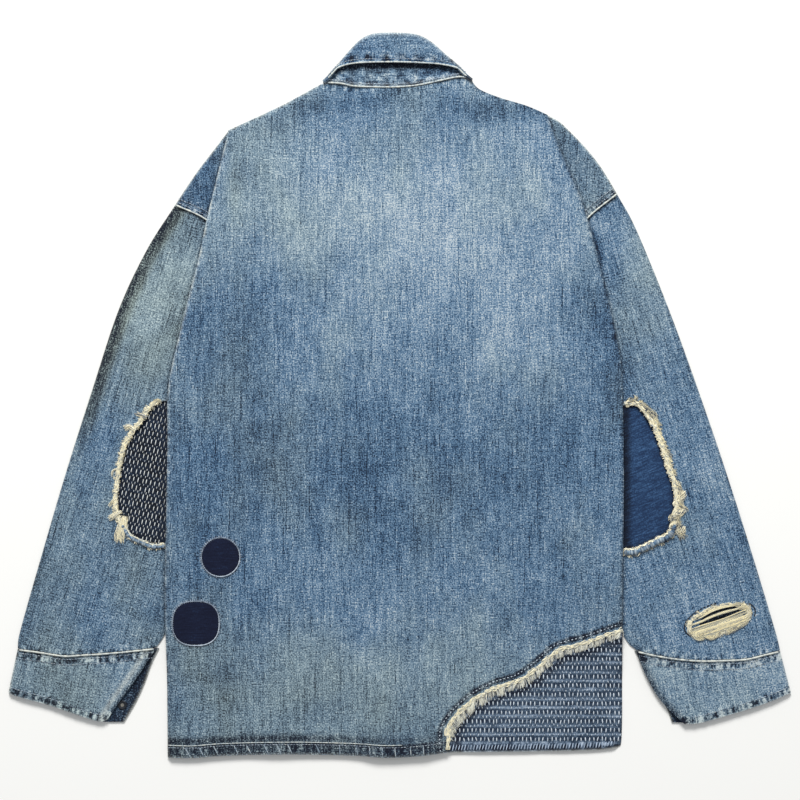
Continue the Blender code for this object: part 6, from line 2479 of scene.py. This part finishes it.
@dataclass
class CollarBack(SubAssembly):
    """The collar behind the neck: a stand that folds over into a fall."""

    stations: int = 150
    base: float = 0.43

    def build(self) -> bpy.types.Object:
        """Makes the collar, with the worn edges of its seam and its fall.

        Returns:
            The piece.
        """
        x = np.linspace(COLLAR_FOLD[0][0], COLLAR_FOLD[-1][0], self.stations)
        fold, fall, seam = (np.interp(x, *curve(line, 2).T) for line in (COLLAR_FOLD, COLLAR_FALL, NECK))
        mottle = 0.5 + 0.6 * wavy(x, 9, 176)
        sections = [self.section(*sizes) for sizes in zip(x, fold, fall, seam + SEAM_GAP, mottle)]
        grid = np.array([points for points, _, _ in sections])
        marks = np.array([part for _, part, _ in sections])
        tones = np.array([part for _, _, part in sections])
        lift = 0.3 * wavy(grid[..., 0], 12, 171) * marks[..., 2]
        top_side = grid[..., 2] > COLLAR_FOLD_RADIUS
        grid[..., 2] += np.where(top_side, lift, -lift)
        rows, columns = grid.shape[:2]
        faces = grid_faces(rows, columns)
        points = grid.reshape(-1, 3)
        if normals_of(points, faces)[columns - 2, 2] < 0:
            faces = faces[:, ::-1]
        cloth = self.cut(points, faces, COLLAR_CLOTH, tones.reshape(-1, 4), marks.reshape(-1, 3),
                         points[:, [1, 0]])
        ends = slice(5, -5)
        edge = grid[ends, -1] + (0, 0.4, -0.5)
        low = np.column_stack([x, seam + SEAM_GAP + 1.2, np.full(len(x), 5.6)])[ends]
        parts = [cloth, Piping(1.7, 1.6, wear=0.7).along(edge, 172),
                 Piping(1.6, 1.5, wear=0.7).along(low, 173),
                 Stitching().along(edge + (0, 3.6, 0.9), 174), Stitching().along(low + (0, 3.4, 0.1), 175)]
        piece = sew("collar_fold", parts, [self.wardrobe.denim, self.wardrobe.cotton], "collar_back")
        around = np.linalg.norm(np.diff(grid, axis=1), axis=2).sum(1)
        self.declare(piece, lengths_along(curve(NECK))[-1], around.max(), around.mean() * (x[-1] - x[0]),
                     ["back_panel"], held="folded")
        return piece

    def section(self, x: float, top: float, edge: float, low: float,
                mottle: float) -> tuple[Array, Array, Array]:
        """The collar's outer side at one place, with its seam marks and tones.

        Args:
            x: The place, across the jacket.
            top: Y of the fold.
            edge: Y of the fall's free edge.
            low: Y of the neck seam.
            mottle: How much dye it has kept there, from 0 to 1.

        Returns:
            The points from the neck seam round to the free edge, and their seam and tones.
        """
        start = CLOTH + LAYERS.body_hollow
        radius = min(COLLAR_FOLD_RADIUS, (top - low) / 2.2)
        round_y = top - radius
        middle = (low + round_y) / 2
        turn = np.radians(np.linspace(-90, 90, 11))
        stand = [(low, start), (middle, start / 3), (round_y, 0.0)]
        stand_y = np.linspace(low, round_y, 16)[:-1]
        stand_z = np.interp(stand_y, *np.array(stand).T)
        edge = min(edge, round_y - 0.8)
        fall_y = round_y + (edge - round_y) * np.concatenate([np.linspace(0.06, 0.9, 12), [0.95, 0.98, 1]])
        share = (fall_y - round_y) / (edge - round_y)
        fall_z = 2 * COLLAR_FOLD_RADIUS + (COLLAR_TOP - 2 * COLLAR_FOLD_RADIUS) * share
        fall_z = fall_z - 0.5 * smooth_step((share - 0.93) / 0.07)
        y = np.concatenate([stand_y, round_y + radius * np.cos(turn), fall_y])
        z = np.concatenate([stand_z, COLLAR_FOLD_RADIUS * (1 + np.sin(turn)), fall_z])
        points = np.column_stack([np.full(len(y), x), y, z])
        from_edge, from_seam = np.abs(y - edge), np.abs(y - low)
        upper = z > COLLAR_FOLD_RADIUS
        power = np.where(upper, near(from_edge - 3.5, 5), near(from_seam - 8, 10))
        marks = np.column_stack([np.full(len(y), 0.45 * x), np.where(upper, from_edge, from_seam),
                                 np.where(upper, 1.1, 1.0) * power])
        dye_and_shade = np.where(upper, 0.8 * mottle * near(from_edge - 6.5, 3.4), 0.04 + 0.26 * mottle)
        # The dark slit on the stand below the fall's edge: painted shadow of the fall, on the stand's unfaded dye.
        slit = 7.5 * min(1.0, (edge - low) / 26)
        dye_and_shade = dye_and_shade + 0.97 * (1 - upper) * smooth_step((slit - (edge - y)) / 3)
        wear = np.where(upper, 0.3 * near(np.abs(y - top), 3), 0.25 * near(from_seam, 4))
        tones = shades(points, self.base, [Spot(0, 380, 60, 14, 0.04)], wear, dye_and_shade)
        return points, marks, tones


@dataclass
class CollarWing(SubAssembly):
    """The front part of the collar, which lies under the front."""

    side: Side = Side.LEFT
    step: float = 7.0

    def build(self) -> bpy.types.Object:
        """Makes the wing.

        Returns:
            The piece.
        """
        outline = wing_loop(self.side)
        points, faces = triangulate(outline, self.step)
        loop = looped(outline)
        edge = distance(points, loop)
        marks, _ = seamed(points, [Seam(loop, 7, 1.0, 0.0, 9, 181)])
        tones = shades(points, 0.55, [], 0.5 * near(edge, 1.8), 0.2 * near(edge - 6, 3))
        cloth = self.cut(with_height(points, CLOTH), faces, CLOTH, tones, marks)
        piece = sew(f"collar_point_{self.side.value}", [cloth], [self.wardrobe.denim],
                    f"collar_wing_{self.side.value}")
        self.declare_as(piece, outline, [f"front_panel_{self.side.value}"])
        return piece


@dataclass
class CuffButton(SubAssembly):
    """The pressed back of a cuff's metal button, with its rolled rim."""

    profile: tuple[tuple[float, float], ...] = (
        (0.0, 0.55), (1.6, 0.5), (2.4, 0.35), (3.0, 0.5), (3.9, 0.78), (4.6, 0.76), (5.0, 0.5), (5.0, 0.2),
        (4.7, 0.0), (0.0, 0.0))
    around: int = 40

    def build(self) -> bpy.types.Object:
        """Makes the button by turning its profile.

        Returns:
            The piece.
        """
        low = CUFF_CLOTH + 0.2
        turn = np.linspace(0, 2 * math.pi, self.around, endpoint=False)
        radius, height = np.array(self.profile).T
        points = np.array([(BUTTON_CENTRE[0] + r * math.cos(a), BUTTON_CENTRE[1] + r * math.sin(a), low + z)
                           for r, z in zip(radius, height) for a in turn])
        faces = []
        for j in range(len(radius) - 1):
            for i in range(self.around):
                a, b = j * self.around + i, j * self.around + (i + 1) % self.around
                faces += [(a, a + self.around, b + self.around), (a, b + self.around, b)]
        first, faces = welded(points, np.array(faces), 4)
        points, blank = points[first], np.zeros((len(first), 3))
        dull = smooth_step((np.linalg.norm(points[:, :2] - BUTTON_CENTRE, axis=1) - 1.6) / 1.2)
        button = Cloth(points, faces, blank, tones_of(dull), blank)
        return sew("cuff_button_back", [button], [self.wardrobe.steel], "cuff_button")


@dataclass
class Studio:
    """The floor, the light and the camera."""

    wardrobe: Wardrobe
    floor: float = 6.0
    middle: tuple[float, float] = (0.275, -5.2)
    frame_mm: float = 880.0
    camera_height: float = 3200.0
    sensor: float = 36.0
    key_watts: float = 245.0
    key_size: float = 1.75
    key_place: tuple[float, float, float] = (-0.3, 3.6, 2.7)
    sky: float = 0.45

    def build(self) -> None:
        """Sets up the studio."""
        half = self.floor / 2
        mesh = bpy.data.meshes.new("studio_floor")
        corners = [(-half, -half, 0), (half, -half, 0), (half, half, 0), (-half, half, 0)]
        mesh.from_pydata(corners, [], [(0, 1, 2, 3)])
        mesh.materials.append(self.wardrobe.paper)
        floor = bpy.data.objects.new("studio_floor", mesh)
        bpy.context.scene.collection.objects.link(floor)
        self.light()
        self.camera()

    def light(self) -> None:
        """A large soft light from beyond the collar, and an even pale surround."""
        lamp = bpy.data.lights.new("key", "AREA")
        lamp.shape = "DISK"
        lamp.size = self.key_size
        lamp.energy = self.key_watts
        lamp.color = (1.0, 0.985, 0.96)
        key = bpy.data.objects.new("key", lamp)
        key.location = self.key_place
        aim = Vector((self.middle[0] * MM, self.middle[1] * MM, 0)) - key.location
        key.rotation_euler = aim.to_track_quat("-Z", "Y").to_euler()
        bpy.context.scene.collection.objects.link(key)
        world = bpy.data.worlds.new("surround")
        world.use_nodes = True
        world.node_tree.nodes["Background"].inputs["Color"].default_value = (0.96, 0.98, 1.0, 1.0)
        world.node_tree.nodes["Background"].inputs["Strength"].default_value = self.sky
        bpy.context.scene.world = world
        bpy.context.scene.view_settings.view_transform = "Standard"

    def camera(self) -> None:
        """The camera, straight above the jacket, at the photo's scale."""
        lens = bpy.data.cameras.new("camera")
        lens.sensor_width = self.sensor
        lens.lens = self.sensor * self.camera_height / self.frame_mm
        camera = bpy.data.objects.new("camera", lens)
        camera.location = (self.middle[0] * MM, self.middle[1] * MM, self.camera_height * MM)
        bpy.context.scene.collection.objects.link(camera)
        bpy.context.scene.camera = camera


def main() -> None:
    """Makes the jacket piece by piece, and the studio around it."""
    logging.basicConfig(level=logging.INFO, format="%(name)s: %(message)s")
    wardrobe = Wardrobe()
    Studio(wardrobe).build()
    back = BackPanel(wardrobe)
    back_piece = back.build()
    corner = TornCorner(wardrobe)
    corner_piece = corner.build_cloth()
    corner_stitches = corner.build_stitches()
    fringe = corner.build_fringe(back)
    back.declare(back_piece, *back.cut_size, abs(area_of(back.outline())),
                 ["front_panel_left", "front_panel_right"], [fringe])
    corner.declare(corner_piece, *corner.cut_size, abs(area_of(corner.outline())), ["front_panel_right"],
                   [corner_stitches])
    for label, (centre, half, power) in ROUND_PATCHES.items():
        RoundPatch(wardrobe, centre, half, power, label).build(back)
    for side in Side:
        FrontPanel(wardrobe, side).build()
        ShoulderFold(wardrobe, side).build()
        sleeve = SleeveTube(wardrobe, side)
        sleeve.build()
        elbow = Elbow(wardrobe, side)
        elbow.build_cloth()
        elbow.build_fringe(sleeve)
        if side is Side.RIGHT:
            Rip(wardrobe).build(sleeve)
        CuffPair(wardrobe, side).build()
        CollarWing(wardrobe, side).build()
    CollarBack(wardrobe).build()
    CuffButton(wardrobe).build()
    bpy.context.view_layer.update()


if __name__ == "__main__":
    main()
